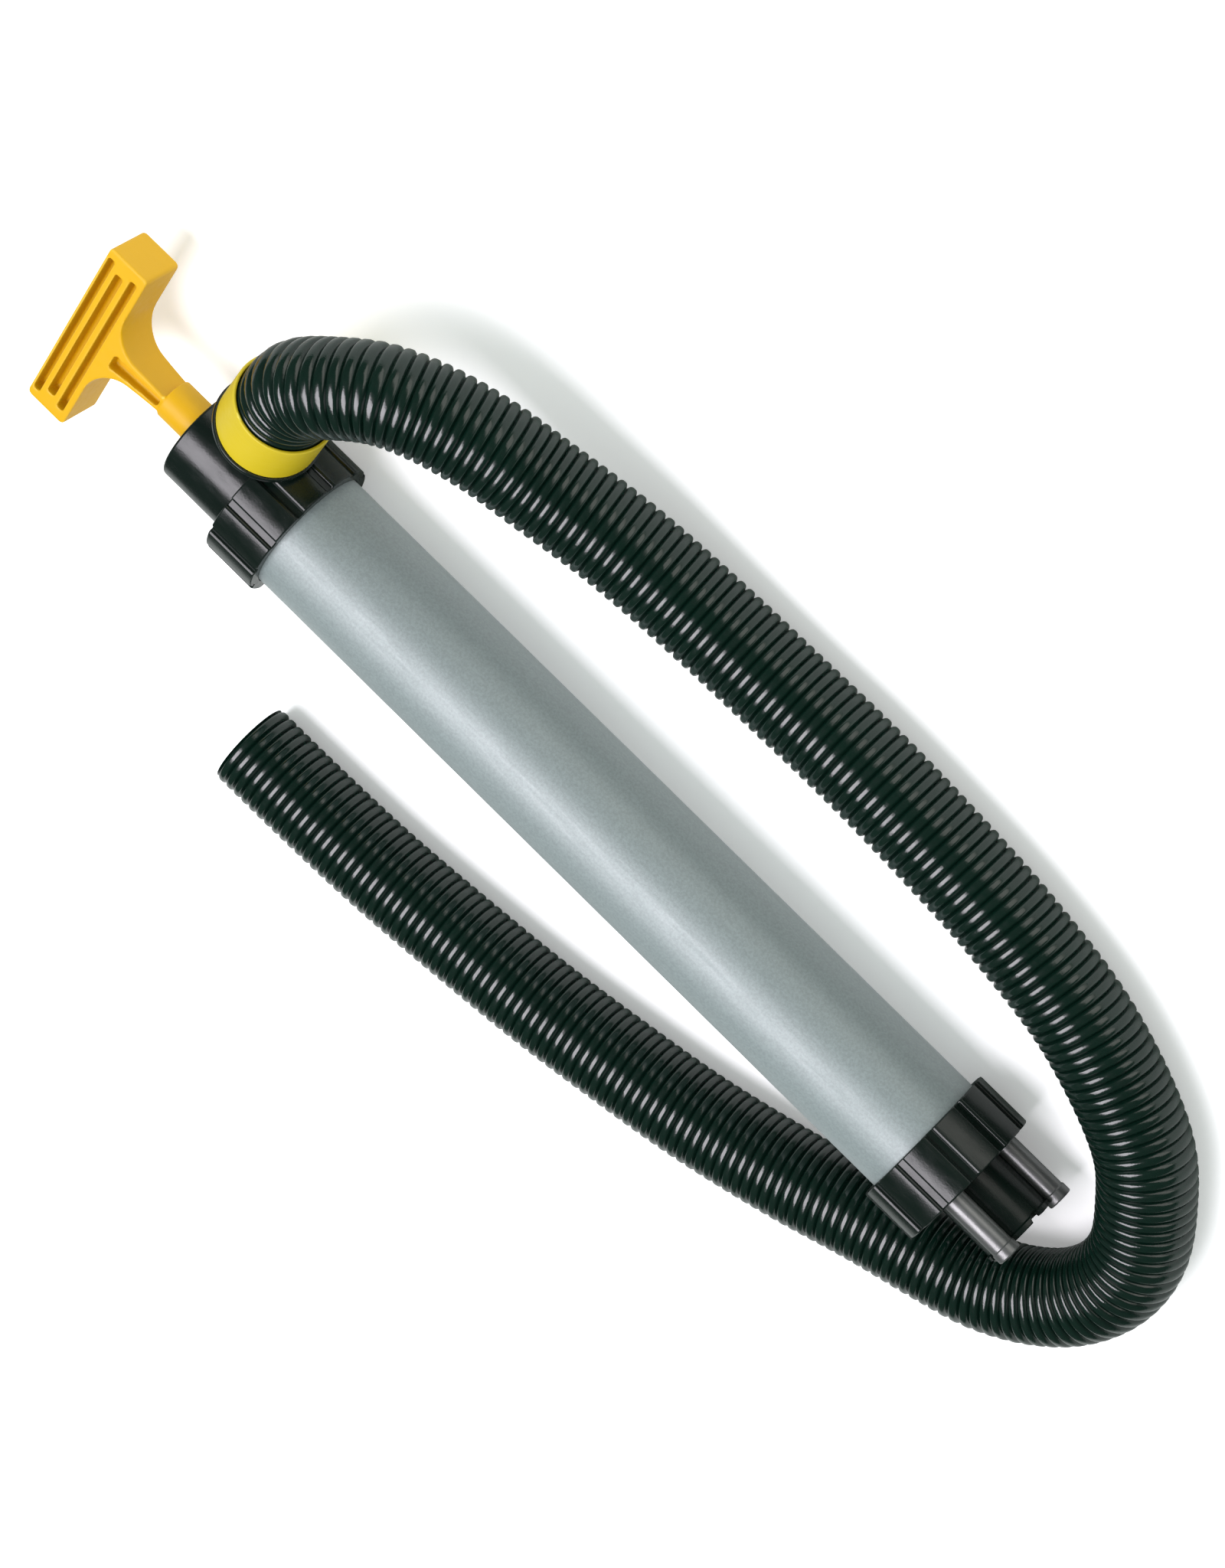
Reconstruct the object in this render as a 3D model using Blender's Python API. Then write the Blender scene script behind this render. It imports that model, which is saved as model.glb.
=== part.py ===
"""Manual bilge pump with a T-handle plunger, two screwed caps and a corrugated discharge hose.

The pump lies on the plane z = 0 with its barrel along X: the handle is at -X, the inlet at +X and
the outlet at +Y.  Every rigid piece is drawn in the pump's own frame, whose X axis is the barrel's
axis and whose origin is the middle of the barrel.  Lengths are metres, angles are degrees.
"""

import math

import bmesh
import bpy
from mathutils import Matrix, Vector

# Where the pump's own frame lies in the part's frame
PUMP_X = 0.03275
PUMP_Y = -0.01051
CAP_RADIUS = 0.0295

# Fits
GAP = 0.0003
CUT_PAST = 0.001
ROUND_STEPS = 32
FINE_STEPS = 48
SMALL_STEPS = 16
HOLE_STEPS = 12
SMOOTH_ANGLE = 35.0

# Barrel
TUBE_RADIUS = 0.025
TUBE_BORE = 0.023
TUBE_HALF = 0.1732
GASKET_THICK = 0.0012
SHOULDER_X = TUBE_HALF + GASKET_THICK + 2 * GAP
SPIGOT_RADIUS = 0.0226
SPIGOT_LENGTH = 0.0047
SKIRT_BORE = TUBE_RADIUS + 0.00035
SKIRT_RADIUS = 0.0267
SKIRT_END = 0.166

# Screwed caps
CAP_LIP_X = 0.156
CAP_RIM_X = 0.179
CAP_LIP = 0.0032
CAP_THREAD_BORE = 0.027
CAP_CHAMFER = 0.0007
CAP_LOBES = 12
CAP_TURN = 13.8
GROOVE_DEPTH = 0.0014
GROOVE_FLOOR = 2.8
GROOVE_EDGE = 4.6

# Head
HEAD_TOP_X = -0.2097
HEAD_RADIUS = 0.0216
HEAD_CHAMFER = 0.0009
HEAD_BORE = 0.0175
RECESS_RADIUS = 0.0093
RECESS_DEPTH = 0.0067
WEB_THICK = 0.0015
WEB_BORE = 0.007
BUSH_SEAT_RADIUS = 0.0103
HEAD_ROOF_X = -0.196

# Outlet, measured out from the barrel's axis
OUTLET_X = -0.191
OUTLET_LEAN = 7.5
OUTLET_RISE = 20.0
NECK_X = -0.1899
NECK_RADIUS = 0.0102
NECK_BORE = 0.008
NECK_START = 0.0185
NECK_HOLE_START = 0.0115
FLANGE_START = 0.0334
FLANGE_END = 0.0356
FLANGE_RADIUS = 0.0206
TAIL_RADIUS = 0.0136
TAIL_BORE = 0.0105
TAIL_BASE_RADIUS = 0.0158
TAIL_BASE_THICK = 0.0022
TAIL_END = 0.0577
TAIL_NOSE = 0.003
BARB_COUNT = 3
BARB_HEIGHT = 0.0009
BARB_FLAT = 0.35
BARB_TOP = 0.4
COLLAR_RADIUS = 0.0197
COLLAR_BORE = 0.0184
COLLAR_END = 0.058
COLLAR_EDGE = 0.0006

# Foot
INLET_RADIUS = 0.0144
INLET_BORE = 0.011
INLET_END = 0.205
INLET_LIP_RADIUS = 0.0152
INLET_LIP = 0.002
INLET_LIP_SLOPE = 0.0006
FUNNEL_LENGTH = 0.003
PEG_COUNT = 3
PEG_CIRCLE = 0.0181
PEG_RADIUS = 0.0049
PEG_END = 0.207
PEG_START_ANGLE = -44.0
NOTCH_WIDTH = 0.006
NOTCH_COUNT = 4
STRAINER_X = 0.196
STRAINER_THICK = 0.0025
STRAINER_HOLE = 0.0024
STRAINER_CIRCLE = 0.0068

# Foot valve
SEAT_TOP_X = 0.1663
SEAT_THICK = 0.0037
VALVE_THICK = 0.002
FOOT_VALVE_RADIUS = 0.017
FOOT_VALVE_LIFT = 0.0048
GUIDE_RADIUS = 0.0025
GUIDE_HEAD_RADIUS = 0.008
GUIDE_HEAD_THICK = 0.0018
GUIDE_FOOT_RADIUS = 0.005
GUIDE_FOOT_THICK = 0.002
PORT_COUNT = 6
HOLE_PHASE = 4.0
PORT_CIRCLE = 0.0115
PORT_RADIUS = 0.0036

# Plunger
ROD_RADIUS = 0.006
ROD_FLAT = 0.005
ROD_TOP_X = -0.222
ROD_TIP_RADIUS = 0.004
PISTON_X = 0.138
PISTON_THICK = 0.008
PISTON_RADIUS = 0.0205
PISTON_PORT_CIRCLE = 0.0135
PISTON_PORT_RADIUS = 0.0024
SEAL_RADIUS = 0.0227
SEAL_BASE = 0.002
SEAL_BASE_BORE = 0.0173
SEAL_LIP_TOP = 0.0015
RETAINER_THICK = 0.002
NUT_THICK = 0.004
NUT_RADIUS = 0.0075
PISTON_VALVE_RADIUS = 0.018
PISTON_VALVE_LIFT = 0.003
STOP_RADIUS = 0.011
STOP_THICK = 0.0022
BUMPER_RADIUS = 0.0105
BUMPER_THICK = 0.004
BUSH_FLANGE_RADIUS = 0.0125
BUSH_FLANGE_THICK = 0.002
SEAL_GROOVE_X = -0.199
SEAL_GROOVE_WIDTH = 0.002
SEAL_GROOVE_RADIUS = 0.0082

# Handle
BAR_TOP_X = -0.2725
BAR_HEIGHT = 0.0186
BAR_LENGTH = 0.0795
BAR_THICK = 0.0198
BAR_ROUND = 0.0014
SLOT_OFFSETS = (0.0027, 0.0084, 0.0144)
SLOT_LENGTHS = (0.0715, 0.0645, 0.0695)
SLOT_WIDTHS = (0.003, 0.0036, 0.0031)
SLOT_DEPTH = 0.0062
SLOT_STEPS = 6
STEM_TOP_WIDTH = 0.006
STEM_END_WIDTH = 0.0036
STEM_END_DEPTH = 0.0076
STEM_FILLET = 0.013
STEM_CHAMFER = 0.0013
STEM_OVERLAP = 0.002
STEM_INSET = 0.0001
STEM_STEPS = 9
STEM_END_X = -0.2255
POCKET_START_X = -0.2505
POCKET_END_X = -0.2275
POCKET_TOP_WIDTH = 0.0066
POCKET_END_WIDTH = 0.0039
POCKET_CORNER = 0.0012
POCKET_FLOOR = 0.00445
GRIP_COLLAR_RADIUS = 0.00825
GRIP_COLLAR_END_X = -0.2034
PIN_X = -0.207
PIN_RADIUS = 0.0015
PIN_SHORT = 0.0004

# Hose: the route is its middle line, from the end of its straight lead to the cut end
HOSE_RADIUS = 0.018
HOSE_LEAD = 0.007
HOSE_POINTS = 50
HOSE_SIDES_LEVEL = 4
CURVE_STEPS = 16
HOSE_ROUTE = (
    (-0.1475, 0.0565, 0.0533),
    (-0.1390, 0.0665, 0.0545),
    (-0.1240, 0.0775, 0.0510),
    (-0.1066, 0.0824, 0.0450),
    (-0.0855, 0.0843, 0.0385),
    (-0.0642, 0.0837, 0.0325),
    (-0.0287, 0.0836, 0.0250),
    (0.0088, 0.0822, 0.0200),
    (0.0468, 0.0816, 0.0181),
    (0.0843, 0.0820, 0.0181),
    (0.1222, 0.0804, 0.0181),
    (0.1598, 0.0770, 0.0181),
    (0.2040, 0.0680, 0.0181),
    (0.2452, 0.0476, 0.0181),
    (0.2612, 0.0294, 0.0181),
    (0.2713, 0.0114, 0.0181),
    (0.2737, -0.0066, 0.0181),
    (0.2688, -0.0246, 0.0181),
    (0.2578, -0.0396, 0.0181),
    (0.2428, -0.0511, 0.0181),
    (0.2248, -0.0586, 0.0181),
    (0.1978, -0.0681, 0.0181),
    (0.1648, -0.0813, 0.0181),
    (0.1263, -0.0938, 0.0181),
    (0.0900, -0.1021, 0.0181),
    (0.0535, -0.1090, 0.0181),
    (0.0143, -0.1142, 0.0181),
    (-0.0274, -0.1185, 0.0181),
    (-0.0695, -0.1202, 0.0181),
    (-0.0980, -0.1204, 0.0181),
)


def clear_scene():
    for item in list(bpy.data.objects):
        bpy.data.objects.remove(item, do_unlink=True)


def make_material(name, colour, roughness, metallic=0.0):
    material = bpy.data.materials.new(name)
    material.use_nodes = True
    shader = material.node_tree.nodes["Principled BSDF"]
    shader.inputs["Base Color"].default_value = (*colour, 1.0)
    shader.inputs["Roughness"].default_value = roughness
    shader.inputs["Metallic"].default_value = metallic
    return material


def make_empty(name, parent=None, location=(0.0, 0.0, 0.0)):
    empty = bpy.data.objects.new(name, None)
    bpy.context.collection.objects.link(empty)
    empty.parent = parent
    empty.location = location
    return empty


def make_object(name, bm, parent=None, material=None):
    """Turn a bmesh into an object with outward faces, smooth shading and its own material."""
    bmesh.ops.recalc_face_normals(bm, faces=bm.faces)
    mesh = bpy.data.meshes.new(name)
    bm.to_mesh(mesh)
    bm.free()
    mesh.shade_smooth()
    mesh.set_sharp_from_angle(angle=math.radians(SMOOTH_ANGLE))
    item = bpy.data.objects.new(name, mesh)
    bpy.context.collection.objects.link(item)
    item.parent = parent
    if material:
        mesh.materials.append(material)
    return item


def even_angles(steps):
    return [360.0 * step / steps for step in range(steps)]


def radius_at(radius, angle):
    """A profile's radius is a number, or a function of the angle for a section that isn't round."""
    return radius(angle) if callable(radius) else radius


def turned(profile, angles, closed):
    """Turn (x, radius) points about the X axis.

    A closed profile makes a ring.  An open one starts and ends on the axis and makes a solid.
    """
    bm = bmesh.new()
    rings = []
    for x, radius in profile:
        if radius == 0:
            rings.append([bm.verts.new((x, 0.0, 0.0))])
            continue
        ring = []
        for angle in angles:
            turn = math.radians(angle)
            reach = radius_at(radius, angle)
            ring.append(bm.verts.new((x, reach * math.cos(turn), reach * math.sin(turn))))
        rings.append(ring)
    pairs = list(zip(rings, rings[1:]))
    if closed:
        pairs.append((rings[-1], rings[0]))
    count = len(angles)
    for first, second in pairs:
        for step in range(count):
            after = (step + 1) % count
            corners = [first[step % len(first)], first[after % len(first)]]
            corners += [second[after % len(second)], second[step % len(second)]]
            bm.faces.new(list(dict.fromkeys(corners)))
    return bm


def turned_ring(name, profile, parent, material, angles=None):
    bm = turned(profile, angles or even_angles(ROUND_STEPS), closed=True)
    return make_object(name, bm, parent, material)


def turned_solid(name, profile, parent, material, angles=None):
    bm = turned(profile, angles or even_angles(ROUND_STEPS), closed=False)
    return make_object(name, bm, parent, material)


def washer(name, start, end, bore, radius, parent, material, angles=None):
    profile = ((start, bore), (start, radius), (end, radius), (end, bore))
    return turned_ring(name, profile, parent, material, angles)


def cylinder(name, start, end, radius, parent, steps=SMALL_STEPS, material=None):
    """A plain cylinder between two points of the pump's frame."""
    start = Vector(start)
    run = Vector(end) - start
    profile = ((0.0, 0.0), (0.0, radius), (run.length, radius), (run.length, 0.0))
    bm = turned(profile, even_angles(steps), closed=False)
    spin = Vector((1.0, 0.0, 0.0)).rotation_difference(run.normalized()).to_matrix().to_4x4()
    bm.transform(Matrix.Translation(start) @ spin)
    return make_object(name, bm, parent, material)


def slab(name, outline, low, high, parent):
    """Extrude an (x, y) outline from z = low to z = high."""
    bm = bmesh.new()
    face = bm.faces.new([bm.verts.new((x, y, low)) for x, y in outline])
    grown = bmesh.ops.extrude_face_region(bm, geom=[face])
    moved = [item for item in grown["geom"] if isinstance(item, bmesh.types.BMVert)]
    bmesh.ops.translate(bm, verts=moved, vec=(0.0, 0.0, high - low))
    return make_object(name, bm, parent)


def guide(item):
    """Mark an object as a shape that only serves another object's Boolean."""
    item.hide_render = True
    item.display_type = "WIRE"
    return item


def combine(item, other, operation):
    step = item.modifiers.new(other.name, "BOOLEAN")
    step.object = guide(other)
    step.operation = operation
    step.solver = "EXACT"


def cut(item, cutter):
    combine(item, cutter, "DIFFERENCE")


def join(item, other):
    combine(item, other, "UNION")


def on_circle(radius, angle):
    turn = math.radians(angle)
    return radius * math.cos(turn), radius * math.sin(turn)


def cut_ring_of_holes(item, name, count, circle, radius, start, end, parent):
    for index in range(count):
        y, z = on_circle(circle, HOLE_PHASE + 360.0 * index / count)
        hole = cylinder(f"{name}_hole_{index}", (start, y, z), (end, y, z), radius, parent,
                        HOLE_STEPS)
        cut(item, hole)


def flatted(radius, flat):
    """A round section with two flats, at y = flat and y = -flat."""
    def reach(angle):
        across = abs(math.cos(math.radians(angle)))
        return min(radius, flat / max(across, flat / radius))
    return reach


def hexagonal(radius):
    """A hexagon's section, with its corners at the given radius."""
    def reach(angle):
        half = math.radians(30.0)
        return radius * math.cos(half) / math.cos(math.radians(angle % 60.0) - half)
    return reach


def outlet_direction():
    lean = math.radians(OUTLET_LEAN)
    rise = math.radians(OUTLET_RISE)
    return Vector((math.sin(lean), math.cos(lean) * math.cos(rise), math.cos(lean) * math.sin(rise)))


def outlet_point(distance):
    return Vector((OUTLET_X, 0.0, 0.0)) + outlet_direction() * distance


def to_outlet(bm):
    """Carry a shape turned about X onto the outlet's axis."""
    spin = Vector((1.0, 0.0, 0.0)).rotation_difference(outlet_direction()).to_matrix().to_4x4()
    bm.transform(Matrix.Translation((OUTLET_X, 0.0, 0.0)) @ spin)
    return bm


# ---------------------------------------------------------------- barrel

def cap_angles():
    pitch = 360.0 / CAP_LOBES
    steps = (GROOVE_FLOOR, GROOVE_EDGE, pitch / 2, pitch - GROOVE_EDGE, pitch - GROOVE_FLOOR)
    return [CAP_TURN + pitch * lobe + step for lobe in range(CAP_LOBES) for step in steps]


def lobed(radius):
    """Full radius on the lobes, less the groove's depth on a groove's floor."""
    pitch = 360.0 / CAP_LOBES

    def reach(angle):
        off = abs((angle - CAP_TURN + pitch / 2) % pitch - pitch / 2)
        return radius - GROOVE_DEPTH if off < (GROOVE_FLOOR + GROOVE_EDGE) / 2 else radius
    return reach


def make_cap(name, side, parent, material):
    inside = CAP_LIP_X + CAP_LIP
    profile = (
        (side * CAP_LIP_X, SKIRT_BORE),
        (side * CAP_LIP_X, lobed(CAP_RADIUS - CAP_CHAMFER)),
        (side * (CAP_LIP_X + CAP_CHAMFER), lobed(CAP_RADIUS)),
        (side * (CAP_RIM_X - CAP_CHAMFER), lobed(CAP_RADIUS)),
        (side * CAP_RIM_X, lobed(CAP_RADIUS - CAP_CHAMFER)),
        (side * CAP_RIM_X, CAP_THREAD_BORE),
        (side * inside, CAP_THREAD_BORE),
        (side * inside, SKIRT_BORE),
    )
    return turned_ring(name, profile, parent, material, cap_angles())


def make_barrel(root, paint):
    washer("pump_tube", -TUBE_HALF, TUBE_HALF, TUBE_BORE, TUBE_RADIUS, root, paint["tube"],
           even_angles(FINE_STEPS))
    make_cap("upper_cap", -1, root, paint["cap"])
    make_cap("lower_cap", 1, root, paint["cap"])
    near = CAP_LIP_X + CAP_LIP + GAP
    far = SKIRT_END - GAP
    seat = SHOULDER_X - GAP
    for name, side in (("upper", -1), ("lower", 1)):
        washer(f"{name}_ferrule", side * near, side * far, SKIRT_BORE, SKIRT_RADIUS, root,
               paint["ferrule"])
        washer(f"{name}_gasket", side * (seat - GASKET_THICK), side * seat,
               SPIGOT_RADIUS + GAP, TUBE_RADIUS, root, paint["rubber"])


# ---------------------------------------------------------------- head and outlet

def make_head(root, paint):
    recess_x = HEAD_TOP_X + RECESS_DEPTH
    web_x = recess_x + WEB_THICK
    profile = (
        (HEAD_TOP_X, RECESS_RADIUS),
        (HEAD_TOP_X, HEAD_RADIUS - HEAD_CHAMFER),
        (HEAD_TOP_X + HEAD_CHAMFER, HEAD_RADIUS),
        (-CAP_RIM_X + GAP, HEAD_RADIUS),
        (-CAP_RIM_X + GAP, SKIRT_RADIUS),
        (-SKIRT_END, SKIRT_RADIUS),
        (-SKIRT_END, SKIRT_BORE),
        (-SHOULDER_X, SKIRT_BORE),
        (-SHOULDER_X, SPIGOT_RADIUS),
        (-SHOULDER_X + SPIGOT_LENGTH, SPIGOT_RADIUS),
        (-SHOULDER_X + SPIGOT_LENGTH, HEAD_BORE),
        (HEAD_ROOF_X, HEAD_BORE),
        (HEAD_ROOF_X, BUSH_SEAT_RADIUS),
        (web_x, BUSH_SEAT_RADIUS),
        (web_x, WEB_BORE),
        (recess_x, WEB_BORE),
        (recess_x, RECESS_RADIUS),
    )
    head = turned_ring("head_housing", profile, root, paint["head"])
    rise = math.radians(OUTLET_RISE)
    sideways = Vector((0.0, math.cos(rise), math.sin(rise)))
    neck_axis = Vector((NECK_X, 0.0, 0.0))
    middle = (FLANGE_START + FLANGE_END) / 2
    neck = cylinder("outlet_neck_solid", neck_axis + sideways * NECK_START,
                    neck_axis + sideways * middle, NECK_RADIUS, root)
    flange = cylinder("outlet_flange_solid", outlet_point(FLANGE_START),
                      outlet_point(FLANGE_END), FLANGE_RADIUS, root, FINE_STEPS)
    neck_hole = cylinder("outlet_neck_hole", neck_axis + sideways * NECK_HOLE_START,
                         neck_axis + sideways * middle, NECK_BORE, root)
    flange_hole = cylinder("outlet_flange_hole", outlet_point(middle - 2 * CUT_PAST),
                           outlet_point(FLANGE_END + 2 * CUT_PAST), TAIL_BORE, root)
    join(head, neck)
    join(head, flange)
    cut(head, neck_hole)
    cut(head, flange_hole)


def tail_profile():
    """The hose tail: a base on the flange, then barbs that slope down towards the mouth."""
    start = FLANGE_END + GAP
    base = start + TAIL_BASE_THICK
    pitch = (TAIL_END - TAIL_NOSE - base) / BARB_COUNT
    points = [(start, TAIL_BORE), (start, TAIL_BASE_RADIUS), (base, TAIL_BASE_RADIUS)]
    for index in range(BARB_COUNT):
        low = base + pitch * index
        points.append((low, TAIL_RADIUS - BARB_HEIGHT))
        points.append((low + pitch * BARB_FLAT, TAIL_RADIUS - BARB_HEIGHT))
        points.append((low + pitch * BARB_TOP, TAIL_RADIUS))
    points.append((TAIL_END, TAIL_RADIUS - BARB_HEIGHT))
    points.append((TAIL_END, TAIL_BORE))
    return points


def make_outlet(root, paint):
    tail = to_outlet(turned(tail_profile(), even_angles(SMALL_STEPS), closed=True))
    make_object("hose_tail", tail, root, paint["tail"])
    start = FLANGE_END + GAP
    profile = (
        (start, COLLAR_BORE),
        (start, COLLAR_RADIUS - COLLAR_EDGE),
        (start + COLLAR_EDGE, COLLAR_RADIUS),
        (COLLAR_END - COLLAR_EDGE, COLLAR_RADIUS),
        (COLLAR_END, COLLAR_RADIUS - COLLAR_EDGE),
        (COLLAR_END, COLLAR_BORE),
    )
    collar = to_outlet(turned(profile, even_angles(FINE_STEPS), closed=True))
    make_object("hose_collar", collar, root, paint["collar"])


def make_gland(root, paint):
    """The bush that guides the rod, keyed by the rod's flats, with a seal in its groove."""
    start = HEAD_TOP_X + RECESS_DEPTH + WEB_THICK + GAP
    under = HEAD_ROOF_X + GAP
    end = under + BUSH_FLANGE_THICK
    hole = flatted(ROD_RADIUS + GAP, ROD_FLAT + GAP)
    groove_end = SEAL_GROOVE_X + SEAL_GROOVE_WIDTH
    profile = (
        (start, hole),
        (start, BUSH_SEAT_RADIUS - GAP),
        (under, BUSH_SEAT_RADIUS - GAP),
        (under, BUSH_FLANGE_RADIUS),
        (end, BUSH_FLANGE_RADIUS),
        (end, hole),
        (groove_end, hole),
        (groove_end, SEAL_GROOVE_RADIUS),
        (SEAL_GROOVE_X, SEAL_GROOVE_RADIUS),
        (SEAL_GROOVE_X, hole),
    )
    angles = even_angles(ROUND_STEPS)
    turned_ring("rod_bush", profile, root, paint["bush"], angles)
    washer("rod_seal", SEAL_GROOVE_X + GAP, groove_end - GAP, hole, SEAL_GROOVE_RADIUS - GAP,
           root, paint["rubber"], angles)


# ---------------------------------------------------------------- foot

def make_foot(root, paint):
    profile = (
        (SHOULDER_X - SPIGOT_LENGTH, HEAD_BORE),
        (SHOULDER_X - SPIGOT_LENGTH, SPIGOT_RADIUS),
        (SHOULDER_X, SPIGOT_RADIUS),
        (SHOULDER_X, SKIRT_BORE),
        (SKIRT_END, SKIRT_BORE),
        (SKIRT_END, SKIRT_RADIUS),
        (CAP_RIM_X, SKIRT_RADIUS),
        (CAP_RIM_X, INLET_RADIUS),
        (INLET_END - INLET_LIP - INLET_LIP_SLOPE, INLET_RADIUS),
        (INLET_END - INLET_LIP, INLET_LIP_RADIUS),
        (INLET_END, INLET_LIP_RADIUS),
        (INLET_END, INLET_BORE),
        (CAP_RIM_X, INLET_BORE),
        (CAP_RIM_X - FUNNEL_LENGTH, HEAD_BORE),
    )
    foot = turned_ring("foot_housing", profile, root, paint["foot"])
    for index in range(PEG_COUNT):
        y, z = on_circle(PEG_CIRCLE, PEG_START_ANGLE + 360.0 * index / PEG_COUNT)
        peg = cylinder(f"peg_solid_{index}", (CAP_RIM_X - CUT_PAST, y, z), (PEG_END, y, z),
                       PEG_RADIUS, root)
        join(foot, peg)
    for index in range(NOTCH_COUNT):
        angle = PEG_START_ANGLE + 60.0 + 360.0 * index / NOTCH_COUNT
        y, z = on_circle(INLET_RADIUS, angle)
        notch = cylinder(f"notch_hole_{index}", (INLET_END, y * 0.5, z * 0.5),
                         (INLET_END, y * 1.5, z * 1.5), NOTCH_WIDTH / 2, root, HOLE_STEPS)
        cut(foot, notch)


def make_strainer(root, paint):
    end = STRAINER_X + STRAINER_THICK
    strainer = washer("inlet_strainer", STRAINER_X, end, STRAINER_HOLE, INLET_BORE - GAP, root,
                      paint["strainer"])
    cut_ring_of_holes(strainer, "strainer", PORT_COUNT, STRAINER_CIRCLE, STRAINER_HOLE,
                      STRAINER_X - CUT_PAST, end + CUT_PAST, root)


def make_foot_valve(root, valve_frame, paint):
    seat_end = SEAT_TOP_X + SEAT_THICK
    seat = washer("foot_valve_seat", SEAT_TOP_X, seat_end, GUIDE_RADIUS + GAP, SPIGOT_RADIUS,
                  root, paint["foot"])
    cut_ring_of_holes(seat, "seat", PORT_COUNT, PORT_CIRCLE, PORT_RADIUS, SEAT_TOP_X - CUT_PAST,
                      seat_end + CUT_PAST, root)
    disc_end = SEAT_TOP_X - GAP
    disc_start = disc_end - VALVE_THICK
    washer("foot_valve_disc", disc_start, disc_end, GUIDE_RADIUS + GAP, FOOT_VALVE_RADIUS,
           valve_frame, paint["rubber"])
    head_end = disc_start - FOOT_VALVE_LIFT - GAP
    head_start = head_end - GUIDE_HEAD_THICK
    foot_start = seat_end + GAP
    foot_end = foot_start + GUIDE_FOOT_THICK
    profile = (
        (head_start, 0.0),
        (head_start, GUIDE_HEAD_RADIUS),
        (head_end, GUIDE_HEAD_RADIUS),
        (head_end, GUIDE_RADIUS),
        (foot_start, GUIDE_RADIUS),
        (foot_start, GUIDE_FOOT_RADIUS),
        (foot_end, GUIDE_FOOT_RADIUS),
        (foot_end, 0.0),
    )
    turned_solid("foot_valve_guide", profile, root, paint["steel"], even_angles(SMALL_STEPS))


# ---------------------------------------------------------------- plunger

def make_rod(plunger, paint):
    section = flatted(ROD_RADIUS, ROD_FLAT)
    tip_end = PISTON_X + PISTON_THICK + SEAL_BASE + RETAINER_THICK + NUT_THICK + 3 * GAP
    profile = (
        (ROD_TOP_X, 0.0),
        (ROD_TOP_X, section),
        (PISTON_X - GAP, section),
        (PISTON_X - GAP, ROD_TIP_RADIUS),
        (tip_end, ROD_TIP_RADIUS),
        (tip_end, 0.0),
    )
    rod = turned_solid("piston_rod", profile, plunger, paint["rod"])
    reach = GRIP_COLLAR_RADIUS
    cut(rod, cylinder("rod_pin_hole", (PIN_X, 0, -reach), (PIN_X, 0, reach), PIN_RADIUS + GAP,
                      plunger, HOLE_STEPS))


def make_piston(plunger, valve_frame, paint):
    tip_bore = ROD_TIP_RADIUS + GAP
    rod_bore = ROD_RADIUS + GAP
    body_end = PISTON_X + PISTON_THICK
    body = washer("piston_body", PISTON_X, body_end, tip_bore, PISTON_RADIUS, plunger,
                  paint["piston"])
    seal_start = body_end + GAP
    seal_end = seal_start + SEAL_BASE
    lip_bore = PISTON_RADIUS + GAP
    seal_profile = (
        (seal_start, SEAL_BASE_BORE),
        (seal_start, lip_bore),
        (PISTON_X + SEAL_LIP_TOP, lip_bore),
        (PISTON_X + SEAL_LIP_TOP, SEAL_RADIUS),
        (seal_end, SEAL_RADIUS),
        (seal_end, SEAL_BASE_BORE),
    )
    turned_ring("piston_cup_seal", seal_profile, plunger, paint["rubber"])
    plate_start = seal_end + GAP
    plate_end = plate_start + RETAINER_THICK
    plate = washer("piston_retainer", plate_start, plate_end, tip_bore, PISTON_RADIUS, plunger,
                   paint["piston"])
    for item, name in ((body, "body"), (plate, "retainer")):
        cut_ring_of_holes(item, name, PORT_COUNT, PISTON_PORT_CIRCLE, PISTON_PORT_RADIUS,
                          PISTON_X - CUT_PAST, plate_end + CUT_PAST, plunger)
    nut_start = plate_end + GAP
    washer("piston_nut", nut_start, nut_start + NUT_THICK, tip_bore, hexagonal(NUT_RADIUS),
           plunger, paint["steel"], even_angles(SMALL_STEPS))
    disc_end = PISTON_X - GAP
    disc_start = disc_end - VALVE_THICK
    angles = even_angles(SMALL_STEPS)
    washer("piston_valve_disc", disc_start, disc_end, rod_bore, PISTON_VALVE_RADIUS,
           valve_frame, paint["rubber"])
    stop_end = disc_start - PISTON_VALVE_LIFT - GAP
    stop_start = stop_end - STOP_THICK
    washer("valve_stop", stop_start, stop_end, rod_bore, STOP_RADIUS, plunger, paint["steel"],
           angles)
    bumper_end = stop_start - GAP
    washer("rod_bumper", bumper_end - BUMPER_THICK, bumper_end, rod_bore, BUMPER_RADIUS,
           plunger, paint["rubber"], angles)


def stem_section(x):
    """Half width and half thickness of the handle's stem at a station along the barrel's axis."""
    bar_end = BAR_TOP_X + BAR_HEIGHT
    along = max(x - bar_end, 0.0)
    rise = max(STEM_FILLET - along, 0.0)
    flare = STEM_FILLET - math.sqrt(STEM_FILLET ** 2 - rise ** 2)
    left = 1.0 - min(along / (STEM_END_X - bar_end), 1.0)
    deep = STEM_END_DEPTH + (BAR_THICK / 2 - STEM_INSET - STEM_END_DEPTH) * left ** 2
    wide = STEM_END_WIDTH + (STEM_TOP_WIDTH - STEM_END_WIDTH) * left + flare
    return wide, deep


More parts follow.
